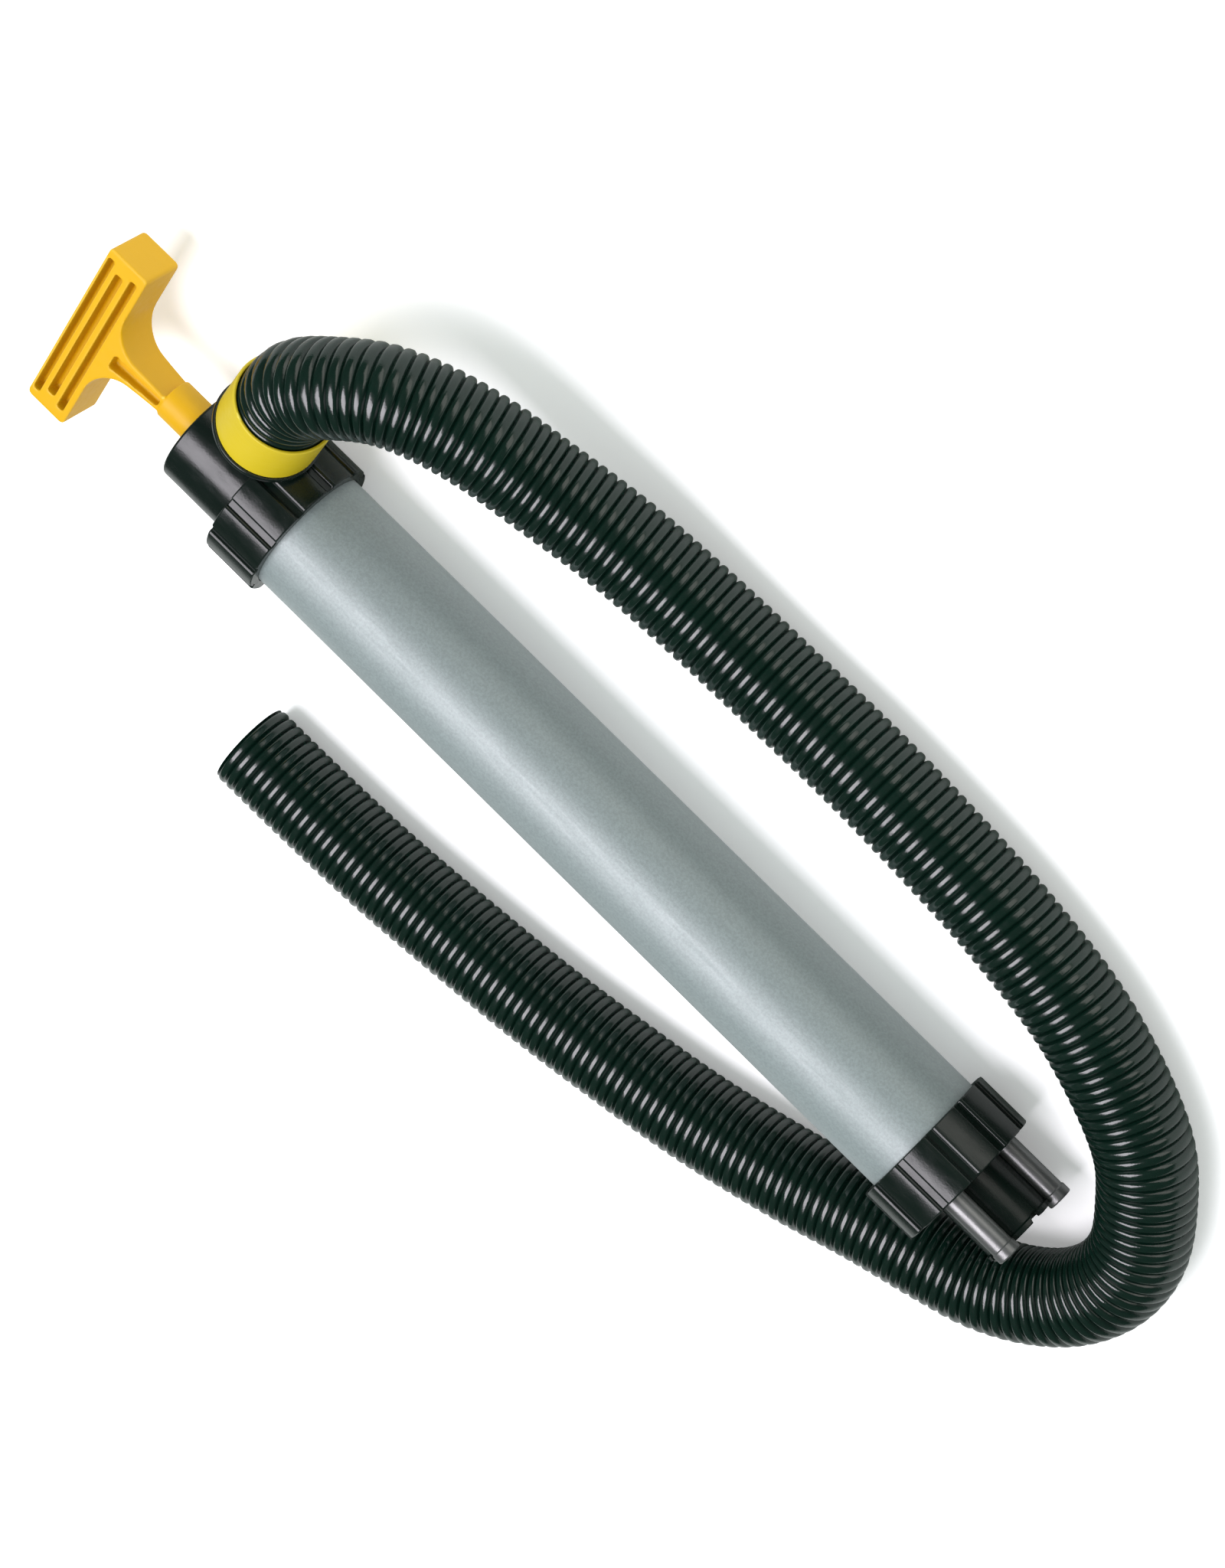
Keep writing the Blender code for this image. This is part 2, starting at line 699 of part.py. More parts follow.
def stem_solid(parent):
    """Loft eight-sided sections from inside the bar to inside the collar."""
    bar_end = BAR_TOP_X + BAR_HEIGHT
    stations = [bar_end - STEM_OVERLAP]
    stations += [bar_end + STEM_FILLET * (1 - math.cos(math.pi / 2 * step / STEM_STEPS))
                 for step in range(STEM_STEPS + 1)]
    stations.append(STEM_END_X)
    bm = bmesh.new()
    rings = []
    for x in stations:
        wide, deep = stem_section(x)
        corner = STEM_CHAMFER
        quarter = ((wide, deep - corner), (wide - corner, deep))
        outline = list(quarter)
        outline += [(-y, z) for y, z in reversed(quarter)]
        outline += [(-y, -z) for y, z in quarter]
        outline += [(y, -z) for y, z in reversed(quarter)]
        rings.append([bm.verts.new((x, y, z)) for y, z in outline])
    for first, second in zip(rings, rings[1:]):
        for step in range(len(first)):
            after = (step + 1) % len(first)
            bm.faces.new((first[step], first[after], second[after], second[step]))
    bm.faces.new(rings[0])
    bm.faces.new(rings[-1])
    return make_object("stem_solid", bm, parent)


def slot_outline(x, length, width, steps=SLOT_STEPS):
    """A slot with round ends, centred on y = 0 at the given x."""
    half = length / 2 - width / 2
    points = []
    for side in (1, -1):
        for step in range(steps + 1):
            turn = math.pi * step / steps
            points.append((x + side * width / 2 * math.cos(turn),
                           side * (half + width / 2 * math.sin(turn))))
    return points


def pocket_outline():
    top = POCKET_TOP_WIDTH / 2
    end = POCKET_END_WIDTH / 2
    return (
        (POCKET_START_X, -top + POCKET_CORNER),
        (POCKET_START_X, top - POCKET_CORNER),
        (POCKET_START_X + POCKET_CORNER, top),
        (POCKET_END_X - POCKET_CORNER, end),
        (POCKET_END_X, end - POCKET_CORNER),
        (POCKET_END_X, -end + POCKET_CORNER),
        (POCKET_END_X - POCKET_CORNER, -end),
        (POCKET_START_X + POCKET_CORNER, -top),
    )


def make_handle(frame, paint):
    """The T-handle: bar, stem and collar, slotted on its front and back faces."""
    bm = bmesh.new()
    bmesh.ops.create_cube(bm, size=1.0)
    bmesh.ops.scale(bm, verts=bm.verts, vec=(BAR_HEIGHT, BAR_LENGTH, BAR_THICK))
    middle = BAR_TOP_X + BAR_HEIGHT / 2
    bmesh.ops.translate(bm, verts=bm.verts, vec=(middle, 0.0, 0.0))
    bmesh.ops.bevel(bm, geom=bm.edges, offset=BAR_ROUND, segments=2, profile=0.5,
                    affect="EDGES")
    handle = make_object("handle", bm, frame, paint["handle"])
    join(handle, stem_solid(frame))
    collar = cylinder("grip_collar_solid", (STEM_END_X - CUT_PAST, 0, 0), (GRIP_COLLAR_END_X, 0, 0),
                      GRIP_COLLAR_RADIUS, frame, ROUND_STEPS)
    join(handle, collar)
    outside = BAR_THICK / 2 + 2 * CUT_PAST
    for side, face in (("front", 1), ("back", -1)):
        floor = face * (BAR_THICK / 2 - SLOT_DEPTH)
        for index, offset in enumerate(SLOT_OFFSETS):
            outline = slot_outline(BAR_TOP_X + offset, SLOT_LENGTHS[index], SLOT_WIDTHS[index])
            low, high = sorted((floor, face * outside))
            cut(handle, slab(f"slot_{side}_{index}", outline, low, high, frame))
        low, high = sorted((face * POCKET_FLOOR, face * outside))
        cut(handle, slab(f"pocket_{side}", pocket_outline(), low, high, frame))
    socket = cylinder("handle_socket_hole", (ROD_TOP_X - GAP, 0, 0),
                      (GRIP_COLLAR_END_X + CUT_PAST, 0, 0), ROD_RADIUS + GAP, frame)
    cut(handle, socket)


def make_pin(plunger, handle, paint):
    """A cross pin through the handle's collar and the rod."""
    long = GRIP_COLLAR_RADIUS + CUT_PAST
    hole = cylinder("handle_pin_hole", (PIN_X, 0, -long), (PIN_X, 0, long), PIN_RADIUS + GAP,
                    plunger, HOLE_STEPS)
    cut(handle, hole)
    half = GRIP_COLLAR_RADIUS - PIN_SHORT
    cylinder("handle_pin", (PIN_X, 0, -half), (PIN_X, 0, half), PIN_RADIUS, plunger,
             HOLE_STEPS, paint["steel"])


# ---------------------------------------------------------------- hose

def smooth_line(points, count):
    """Evenly spaced points along a centripetal Catmull-Rom curve through the given points."""
    points = [Vector(point) for point in points]
    ends = [points[0] * 2 - points[1]] + points + [points[-1] * 2 - points[-2]]
    fine = []
    for a, b, c, d in zip(ends, ends[1:], ends[2:], ends[3:]):
        knots = [0.0]
        for first, second in ((a, b), (b, c), (c, d)):
            knots.append(knots[-1] + (second - first).length ** 0.5)
        for step in range(CURVE_STEPS):
            t = knots[1] + (knots[2] - knots[1]) * step / CURVE_STEPS
            ab = a.lerp(b, (t - knots[0]) / (knots[1] - knots[0]))
            bc = b.lerp(c, (t - knots[1]) / (knots[2] - knots[1]))
            cd = c.lerp(d, (t - knots[2]) / (knots[3] - knots[2]))
            abc = ab.lerp(bc, (t - knots[0]) / (knots[2] - knots[0]))
            bcd = bc.lerp(cd, (t - knots[1]) / (knots[3] - knots[1]))
            fine.append(abc.lerp(bcd, (t - knots[1]) / (knots[2] - knots[1])))
    fine.append(points[-1])
    reach = [0.0]
    for first, second in zip(fine, fine[1:]):
        reach.append(reach[-1] + (second - first).length)
    line = []
    index = 0
    for step in range(count):
        goal = reach[-1] * step / (count - 1)
        while index < len(fine) - 2 and reach[index + 1] < goal:
            index += 1
        share = (goal - reach[index]) / (reach[index + 1] - reach[index])
        line.append(fine[index].lerp(fine[index + 1], share))
    return line


def make_hose(paint):
    mouth = Vector((PUMP_X, PUMP_Y, CAP_RADIUS)) + outlet_point(COLLAR_END + GAP)
    lead = mouth + outlet_direction() * HOSE_LEAD
    line = [mouth] + smooth_line([lead] + list(HOSE_ROUTE), HOSE_POINTS)
    curve = bpy.data.curves.new("discharge_hose", "CURVE")
    curve.dimensions = "3D"
    curve.twist_mode = "Z_UP"
    curve.bevel_depth = HOSE_RADIUS
    curve.bevel_resolution = HOSE_SIDES_LEVEL
    curve.use_fill_caps = True
    spline = curve.splines.new("POLY")
    spline.points.add(len(line) - 1)
    for point, place in zip(spline.points, line):
        point.co = (*place, 1.0)
        point.radius = 1.0
    spline.use_smooth = True
    curve.materials.append(paint["hose"])
    hose = bpy.data.objects.new("discharge_hose", curve)
    bpy.context.collection.objects.link(hose)


def make_materials():
    black = (0.012, 0.016, 0.014)
    return {
        "tube": make_material("tube_aluminium", (0.62, 0.65, 0.66), 0.34, 0.85),
        "cap": make_material("cap_plastic", black, 0.36),
        "head": make_material("head_plastic", black, 0.36),
        "foot": make_material("foot_plastic", black, 0.4),
        "tail": make_material("tail_plastic", black, 0.45),
        "strainer": make_material("strainer_plastic", black, 0.5),
        "ferrule": make_material("ferrule_plastic", (0.03, 0.03, 0.03), 0.5),
        "bush": make_material("bush_nylon", (0.75, 0.74, 0.7), 0.45),
        "rubber": make_material("seal_rubber", (0.02, 0.02, 0.02), 0.75),
        "collar": make_material("collar_plastic", (0.8, 0.6, 0.01), 0.4),
        "handle": make_material("handle_plastic", (0.87, 0.47, 0.015), 0.42),
        "rod": make_material("rod_aluminium", (0.7, 0.71, 0.72), 0.3, 1.0),
        "piston": make_material("piston_nylon", (0.7, 0.69, 0.64), 0.5),
        "steel": make_material("fitting_steel", (0.6, 0.6, 0.6), 0.28, 1.0),
        "hose": make_material("hose_plastic", (0.008, 0.022, 0.015), 0.4),
    }


def build():
    clear_scene()
    paint = make_materials()
    root = make_empty("pump_frame", location=(PUMP_X, PUMP_Y, CAP_RADIUS))
    plunger = make_empty("plunger_frame", root)
    foot_valve_frame = make_empty("foot_valve_frame", root)
    piston_valve_frame = make_empty("piston_valve_frame", plunger)
    make_barrel(root, paint)
    make_head(root, paint)
    make_outlet(root, paint)
    make_gland(root, paint)
    make_foot(root, paint)
    make_strainer(root, paint)
    make_foot_valve(root, foot_valve_frame, paint)
    make_rod(plunger, paint)
    make_piston(plunger, piston_valve_frame, paint)
    make_handle(plunger, paint)
    make_pin(plunger, bpy.data.objects["handle"], paint)
    make_hose(paint)


build()
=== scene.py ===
"""Looks of the manual bilge pump: fine surfaces, materials, floor, light and camera.

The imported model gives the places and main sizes.  Rigid pieces are drawn in the pump's own frame,
whose X axis is the barrel's axis and whose origin is the middle of the barrel, and are then moved
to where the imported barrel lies.  Lengths are metres, angles are degrees.
"""

import math

import bmesh
import bpy
from mathutils import Matrix, Vector


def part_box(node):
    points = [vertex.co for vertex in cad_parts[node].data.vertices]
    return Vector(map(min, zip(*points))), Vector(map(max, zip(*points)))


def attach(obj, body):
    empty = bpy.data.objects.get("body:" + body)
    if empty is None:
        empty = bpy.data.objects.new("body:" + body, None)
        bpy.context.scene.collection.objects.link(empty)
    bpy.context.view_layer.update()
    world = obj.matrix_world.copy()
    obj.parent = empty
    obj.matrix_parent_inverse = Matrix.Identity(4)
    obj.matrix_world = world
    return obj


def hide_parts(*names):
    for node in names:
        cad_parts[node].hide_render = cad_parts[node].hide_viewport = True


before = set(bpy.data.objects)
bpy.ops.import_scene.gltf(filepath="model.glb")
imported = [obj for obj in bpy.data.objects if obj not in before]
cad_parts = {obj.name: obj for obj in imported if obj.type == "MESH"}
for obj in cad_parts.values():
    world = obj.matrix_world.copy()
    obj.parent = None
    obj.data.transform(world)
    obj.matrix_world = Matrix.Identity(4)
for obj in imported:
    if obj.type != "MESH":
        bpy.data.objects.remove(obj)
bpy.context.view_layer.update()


def node_span(node):
    """A node's lowest and highest corners in the pump's own frame."""
    low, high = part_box(node)
    return low - CENTRE, high - CENTRE


TUBE_LOW, TUBE_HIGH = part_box("pump_tube")
CENTRE = (TUBE_LOW + TUBE_HIGH) / 2
TO_PART = Matrix.Translation(CENTRE)

# Fineness
ROUND_STEPS = 128
SMALL_STEPS = 64
HOLE_STEPS = 32
CORNER_STEPS = 4
SHARP_ANGLE = 35.0
NORMAL_WEIGHT = 80

# Gaps between pieces, the smallest edge rounding, and how far a cutter reaches past a face
GAP = 0.0003
FINE_EDGE = 0.0003
SKIRT_EDGE = 0.0004
CUTTER_REACH = 0.002

# Barrel and caps
TUBE_RADIUS = (TUBE_HIGH.y - TUBE_LOW.y) / 2
TUBE_HALF = (TUBE_HIGH.x - TUBE_LOW.x) / 2
TUBE_WALL = 0.002
TUBE_EDGE = FINE_EDGE
CAP_RADIUS = CENTRE.z
CAP_LIP_X = node_span("lower_cap")[0].x
CAP_RIM_X = node_span("lower_cap")[1].x
CAP_LIP = 0.0032
CAP_LIP_BORE = TUBE_RADIUS + 0.00035
CAP_THREAD_BORE = 0.027
CAP_EDGE = 0.0007
CAP_LOBES = 12
CAP_TURN = 13.8
GROOVE_DEPTH = 0.0014
GROOVE_FLOOR = 2.6
GROOVE_EDGE = 5.0
GROOVE_STEPS = 6
LOBE_STEPS = 4
SKIRT_RADIUS = 0.0267
SKIRT_END = 0.166
SHOULDER_X = TUBE_HALF + 0.0018
SPIGOT_RADIUS = 0.0226
SPIGOT_LENGTH = 0.0047

# Head and outlet
HEAD_TOP_X = node_span("head_housing")[0].x
HEAD_RADIUS = 0.0216
HEAD_EDGE = 0.0012
HEAD_BORE = 0.0175
HEAD_ROOF_X = -0.196
RECESS_RADIUS = 0.0093
RECESS_DEPTH = 0.0067
RECESS_EDGE = 0.0006
WEB_THICK = 0.0015
WEB_BORE = 0.007
BUSH_SEAT_RADIUS = 0.0103
OUTLET_X = -0.191
OUTLET_LEAN = 7.5
OUTLET_RISE = 20.0
NECK_X = -0.1899
NECK_RADIUS = 0.0102
NECK_BORE = 0.008
NECK_START = 0.0185
NECK_HOLE_START = HEAD_BORE - 0.006
FLANGE_START = 0.0334
FLANGE_END = 0.0356
FLANGE_RADIUS = 0.0206
FLANGE_EDGE = 0.0006
TAIL_BORE = 0.0105
TAIL_HOLE_END = FLANGE_END + 2 * CUTTER_REACH
COLLAR_RADIUS = 0.0197
COLLAR_BORE = 0.0184
COLLAR_END = 0.058
COLLAR_EDGE = 0.0007
COLLAR_MOUTH_EDGE = 0.0004

# Foot
INLET_RADIUS = 0.0144
INLET_BORE = 0.011
INLET_END = 0.205
INLET_LIP_RADIUS = 0.0152
INLET_LIP = 0.002
INLET_FILLET = 0.001
INLET_MOUTH_EDGE = 0.0004
FUNNEL_DEPTH = 0.003
PEG_COUNT = 3
PEG_CIRCLE = 0.0181
PEG_RADIUS = 0.0049
PEG_STEM_RADIUS = 0.0045
PEG_TIP = 0.0042
PEG_TIP_STEP = 0.0005
PEG_TIP_EDGE = 0.0002
PEG_END_EDGE = 0.0006
PEG_START_X = CAP_RIM_X - 0.001
PEG_END = node_span("foot_housing")[1].x
PEG_START_ANGLE = -44.0
NOTCH_WIDTH = 0.006
NOTCH_COUNT = 4
NOTCH_TURN = 60.0
NOTCH_INSIDE = 0.5
NOTCH_OUTSIDE = 1.5
FOOT_EDGE = 0.0006

# Rod
ROD_RADIUS = 0.006
ROD_FLAT = 0.005
ROD_START_X = node_span("piston_rod")[0].x
ROD_END_X = node_span("piston_rod")[1].x
ROD_NECK_X = 0.1377
ROD_NECK_RADIUS = 0.004

# Handle
BAR_TOP_X = node_span("handle")[0].x
BAR_HEIGHT = 0.0186
BAR_LENGTH = 0.0795
BAR_THICK = 0.0198
BAR_CORNER = 0.0018
BAR_EDGE = 0.0007
SLOT_OFFSETS = (0.0027, 0.0084, 0.0144)
SLOT_LENGTHS = (0.0715, 0.0645, 0.0695)
SLOT_WIDTHS = (0.003, 0.0036, 0.0031)
SLOT_CORNER = 0.0009
SLOT_DEPTH = 0.0062
RIM_STEPS = 3
STEM_TOP_WIDTH = 0.006
STEM_END_WIDTH = 0.0036
STEM_END_DEPTH = 0.0076
STEM_FILLET = 0.013
STEM_EDGE = 0.0009
STEM_OVERLAP = 0.002
STEM_INSET = 0.0001
STEM_STEPS = 20
STEM_SPANS = 4
STEM_END_X = -0.2255
POCKET_START_X = -0.2505
POCKET_END_X = -0.2275
POCKET_TOP_WIDTH = 0.0066
POCKET_END_WIDTH = 0.0039
POCKET_CORNER = 0.0012
POCKET_FLOOR = 0.0045
GRIP_RADIUS = 0.00825
GRIP_EDGE = 0.0005
GRIP_START_X = STEM_END_X - 0.001
GRIP_END_X = node_span("handle")[1].x
PIN_X = -0.207
PIN_RADIUS = 0.0015
PIN_HALF = 0.00785
PIN_HOLE_HALF = 0.01
HANDLE_GRAIN = 0.0004
HANDLE_SMOOTHING = 0.5
HANDLE_PASSES = 3

# Hose: the route is its middle line, from the end of its straight lead to the cut end
HOSE_RADIUS = 0.018
HOSE_BORE = 0.0142
HOSE_START = 0.0392
HOSE_LEAD = 0.007
RIDGE_PITCH = 0.00405
RIDGE_DEPTH = 0.0017
RIDGE_SQUARENESS = 3.4
RIDGE_STEPS = 8
HOSE_SIDES = 42
HOSE_CURVE_STEPS = 24
HOSE_ROUTE = (
    (-0.1475, 0.0565, 0.0533),
    (-0.1390, 0.0665, 0.0545),
    (-0.1240, 0.0775, 0.0510),
    (-0.1066, 0.0824, 0.0450),
    (-0.0855, 0.0843, 0.0385),
    (-0.0642, 0.0837, 0.0325),
    (-0.0287, 0.0836, 0.0250),
    (0.0088, 0.0822, 0.0200),
    (0.0468, 0.0816, 0.0181),
    (0.0843, 0.0820, 0.0181),
    (0.1222, 0.0804, 0.0181),
    (0.1598, 0.0770, 0.0181),
    (0.2040, 0.0680, 0.0181),
    (0.2452, 0.0476, 0.0181),
    (0.2612, 0.0294, 0.0181),
    (0.2713, 0.0114, 0.0181),
    (0.2737, -0.0066, 0.0181),
    (0.2688, -0.0246, 0.0181),
    (0.2578, -0.0396, 0.0181),
    (0.2428, -0.0511, 0.0181),
    (0.2248, -0.0586, 0.0181),
    (0.1978, -0.0681, 0.0181),
    (0.1648, -0.0813, 0.0181),
    (0.1263, -0.0938, 0.0181),
    (0.0900, -0.1021, 0.0181),
    (0.0535, -0.1090, 0.0181),
    (0.0143, -0.1142, 0.0181),
    (-0.0274, -0.1185, 0.0181),
    (-0.0695, -0.1202, 0.0181),
    (-0.0980, -0.1204, 0.0181),
)

# Camera: a place and a direction from the pump to the camera, with the picture's roll
CAMERA_PLACE = (0.15477, 0.92271, 1.06594)
CAMERA_SIDE = (0.08716, 0.66658, 0.74032)
CAMERA_ROLL = 44.5
CAMERA_LENS = 89.09
CAMERA_RISE = 0.0293
CAMERA_NEAR = 0.05

# Light: a softbox above, a warm fill beside the hose's outgoing run, and an even surround that mirrored
# rays see darker, as black cards beside a product table would make it
SOFTBOX_PLACE = (-0.2, -0.16, 1.7)
SOFTBOX_LENGTH = 1.5
SOFTBOX_WIDTH = 1.05
SOFTBOX_POWER = 36.0
SOFTBOX_COLOUR = (1.03, 0.98, 1.05)
FILL_PLACE = (0.2, 1.9, 0.55)
FILL_TURN = (-74.0, 0.0, 0.0)
FILL_LENGTH = 2.6
FILL_WIDTH = 0.9
FILL_POWER = 10.0
FILL_COLOUR = (1.0, 0.97, 0.92)
WORLD_COLOUR = (0.84, 0.94, 0.9)
WORLD_STRENGTH = 0.7
GLOSSY_STRENGTH = 0.08
FLOOR_PALE = (0.93, 0.93, 0.93)
FLOOR_PALER = (0.95, 0.95, 0.95)
# painted reflection shade: the floor's colour as glossy rays see it, darker than the floor itself
FLOOR_PAINTED_REFLECTION_SHADE = (0.45, 0.47, 0.45)
FLOOR_GLOW = 0.3
FLOOR_SIZE = 9.0
FLOOR_DROP = 0.0002


# ---------------------------------------------------------------- meshes

def finish_mesh(name, bm, move=TO_PART):
    """Turn a bmesh into a smoothly shaded object whose flat and round faces keep their own shading."""
    bmesh.ops.recalc_face_normals(bm, faces=bm.faces)
    bm.transform(move)
    mesh = bpy.data.meshes.new(name)
    bm.to_mesh(mesh)
    bm.free()
    item = bpy.data.objects.new(name, mesh)
    bpy.context.scene.collection.objects.link(item)
    shade(item)
    return item


def shade(item):
    """Smooth shading that breaks at sharp edges."""
    item.data.shade_smooth()
    item.data.set_sharp_from_angle(angle=math.radians(SHARP_ANGLE))


def weigh_normals(item):
    """Let the large faces keep their flat shading beside narrow rounded edges."""
    step = item.modifiers.new("shading", "WEIGHTED_NORMAL")
    step.keep_sharp = True
    step.weight = NORMAL_WEIGHT


def applied(item):
    """Replace an object's mesh by its evaluated one and drop its modifiers."""
    bpy.context.view_layer.update()
    graph = bpy.context.evaluated_depsgraph_get()
    mesh = bpy.data.meshes.new_from_object(item.evaluated_get(graph))
    item.modifiers.clear()
    item.data = mesh
    return item


def combine(item, other, operation):
    """Join another solid to this one, or cut it away, and remove the other."""
    step = item.modifiers.new("combine", "BOOLEAN")
    step.object = other
    step.operation = operation
    step.solver = "EXACT"
    applied(item)
    bpy.data.objects.remove(other, do_unlink=True)
    return item


def even_angles(steps):
    return [360.0 * step / steps for step in range(steps)]


def radius_at(radius, angle):
    return radius(angle) if callable(radius) else radius


def softened(corners, steps=CORNER_STEPS):
    """A closed outline of (along, across, fillet) corners, with each fillet drawn as an arc."""
    path = []
    for index, (along, across, fillet) in enumerate(corners):
        corner = Vector((along, across))
        if fillet == 0:
            path.append((along, across))
            continue
        before = (Vector(corners[index - 1][:2]) - corner).normalized()
        after = (Vector(corners[(index + 1) % len(corners)][:2]) - corner).normalized()
        half = before.angle(after) / 2
        centre = corner + (before + after).normalized() * (fillet / math.sin(half))
        start = corner + before * (fillet / math.tan(half)) - centre
        end = corner + after * (fillet / math.tan(half)) - centre
        first = math.atan2(start.y, start.x)
        sweep = (math.atan2(end.y, end.x) - first + math.pi) % (2 * math.pi) - math.pi
        for step in range(steps + 1):
            turn = first + sweep * step / steps
            path.append((centre.x + fillet * math.cos(turn), centre.y + fillet * math.sin(turn)))
    return path


def turned(profile, angles, closed=True):
    """Turn (x, radius) points about the X axis: a ring if closed, a solid if it starts on the axis."""
    bm = bmesh.new()
    rings = []
    for x, radius in profile:
        if radius == 0:
            rings.append([bm.verts.new((x, 0.0, 0.0))])
            continue
        ring = []
        for angle in angles:
            turn = math.radians(angle)
            reach = radius_at(radius, angle)
            ring.append(bm.verts.new((x, reach * math.cos(turn), reach * math.sin(turn))))
        rings.append(ring)
    pairs = list(zip(rings, rings[1:]))
    if closed:
        pairs.append((rings[-1], rings[0]))
    for first, second in pairs:
        for step in range(len(angles)):
            after = (step + 1) % len(angles)
            corners = [first[step % len(first)], first[after % len(first)]]
            corners += [second[after % len(second)], second[step % len(second)]]
            bm.faces.new(list(dict.fromkeys(corners)))
    return bm


def turned_piece(name, corners, steps=ROUND_STEPS, move=TO_PART):
    return finish_mesh(name, turned(softened(corners), even_angles(steps)), move)


def solid_between(name, start, end, radius, steps=SMALL_STEPS, edge=0.0, place=TO_PART):
    """A closed round bar between two points of the pump's own frame, with rounded ends."""
    start = Vector(start)
    run = Vector(end) - start
    length = run.length
    rim = softened([(0.0, -radius, 0.0), (0.0, radius, edge), (length, radius, edge),
                    (length, -radius, 0.0)])[1:-1]
    bm = turned([(0.0, 0.0)] + rim + [(length, 0.0)], even_angles(steps), closed=False)
    spin = Vector((1.0, 0.0, 0.0)).rotation_difference(run.normalized()).to_matrix().to_4x4()
    bm.transform(Matrix.Translation(start) @ spin)
    return finish_mesh(name, bm, place)


def on_circle(radius, angle):
    turn = math.radians(angle)
    return radius * math.cos(turn), radius * math.sin(turn)


def flatted(radius, flat):
    """A round section with two flats, at y = flat and y = -flat."""
    def reach(angle):
        across = abs(math.cos(math.radians(angle)))
        return min(radius, flat / max(across, flat / radius))
    return reach


def outlet_direction():
    lean = math.radians(OUTLET_LEAN)
    rise = math.radians(OUTLET_RISE)
    return Vector((math.sin(lean), math.cos(lean) * math.cos(rise), math.cos(lean) * math.sin(rise)))


def outlet_point(distance):
    return Vector((OUTLET_X, 0.0, 0.0)) + outlet_direction() * distance


def to_outlet():
    """Carry a shape turned about X onto the outlet's axis."""
    spin = Vector((1.0, 0.0, 0.0)).rotation_difference(outlet_direction()).to_matrix().to_4x4()
    return TO_PART @ Matrix.Translation((OUTLET_X, 0.0, 0.0)) @ spin


# ---------------------------------------------------------------- materials

EDGE_START = 0.52
EDGE_FULL = 0.6
NOISE_LOW = 0.3
NOISE_HIGH = 0.7


class Paint:
    """A Principled material whose colour, roughness and relief come from noises in object space."""

    def __init__(self, name, metallic=0.0, specular=0.5, ior=1.45):
        self.material = bpy.data.materials.new(name)
        self.material.use_nodes = True
        self.tree = self.material.node_tree
        self.shader = self.tree.nodes["Principled BSDF"]
        self.shader.inputs["Metallic"].default_value = metallic
        self.shader.inputs["Specular IOR Level"].default_value = specular
        self.shader.inputs["IOR"].default_value = ior
        self.place = self.tree.nodes.new("ShaderNodeTexCoord").outputs["Object"]
        self.relief = None

    def noise(self, scale, detail=3.0, roughness=0.55, stretch=(1.0, 1.0, 1.0)):
        """Noise from 0 to 1, with about `scale` features to a metre."""
        mapping = self.tree.nodes.new("ShaderNodeMapping")
        mapping.inputs["Scale"].default_value = stretch
        self.tree.links.new(self.place, mapping.inputs["Vector"])
        node = self.tree.nodes.new("ShaderNodeTexNoise")
        node.inputs["Scale"].default_value = scale
        node.inputs["Detail"].default_value = detail
        node.inputs["Roughness"].default_value = roughness
        self.tree.links.new(mapping.outputs["Vector"], node.inputs["Vector"])
        return node.outputs["Fac"]

    def ranged(self, value, low, high, to_low, to_high):
        """A value carried from one range to another, and kept within the second."""
        node = self.tree.nodes.new("ShaderNodeMapRange")
        node.inputs["From Min"].default_value = low
        node.inputs["From Max"].default_value = high
        node.inputs["To Min"].default_value = to_low
        node.inputs["To Max"].default_value = to_high
        self.tree.links.new(value, node.inputs["Value"])
        return node.outputs["Result"]

    def mixed(self, share, first, second):
        """A colour between two colours or sockets.  The share is a number or a socket."""
        node = self.tree.nodes.new("ShaderNodeMix")
        node.data_type = "RGBA"
        if isinstance(share, float):
            node.inputs["Factor"].default_value = share
        else:
            self.tree.links.new(share, node.inputs["Factor"])
        for name, value in (("A", first), ("B", second)):
            socket = next(s for s in node.inputs if s.name == name and s.type == "RGBA")
            if isinstance(value, tuple):
                socket.default_value = (*value, 1.0)
            else:
                self.tree.links.new(value, socket)
        return next(s for s in node.outputs if s.type == "RGBA")

    def product(self, first, second):
        node = self.tree.nodes.new("ShaderNodeMath")
        node.operation = "MULTIPLY"
        for socket, value in zip(node.inputs, (first, second)):
            self.tree.links.new(value, socket)
        return node.outputs["Value"]

    def edges(self):
        """1 on outer edges, 0 elsewhere."""
        point = self.tree.nodes.new("ShaderNodeNewGeometry").outputs["Pointiness"]
        return self.ranged(point, EDGE_START, EDGE_FULL, 0.0, 1.0)

    def colour(self, socket):
        self.tree.links.new(socket, self.shader.inputs["Base Color"])

    def roughness(self, value, low, high):
        """Roughness from low to high over the middle of a noise."""
        share = self.ranged(value, NOISE_LOW, NOISE_HIGH, low, high)
        self.tree.links.new(share, self.shader.inputs["Roughness"])

    def bump(self, value, height):
        """Add relief of the given height in metres."""
        node = self.tree.nodes.new("ShaderNodeBump")
        node.inputs["Distance"].default_value = height
        self.tree.links.new(value, node.inputs["Height"])
        if self.relief:
            self.tree.links.new(self.relief, node.inputs["Normal"])
        self.relief = node.outputs["Normal"]
        self.tree.links.new(self.relief, self.shader.inputs["Normal"])


def scaled(colour, factor):
    return tuple(part * factor for part in colour)


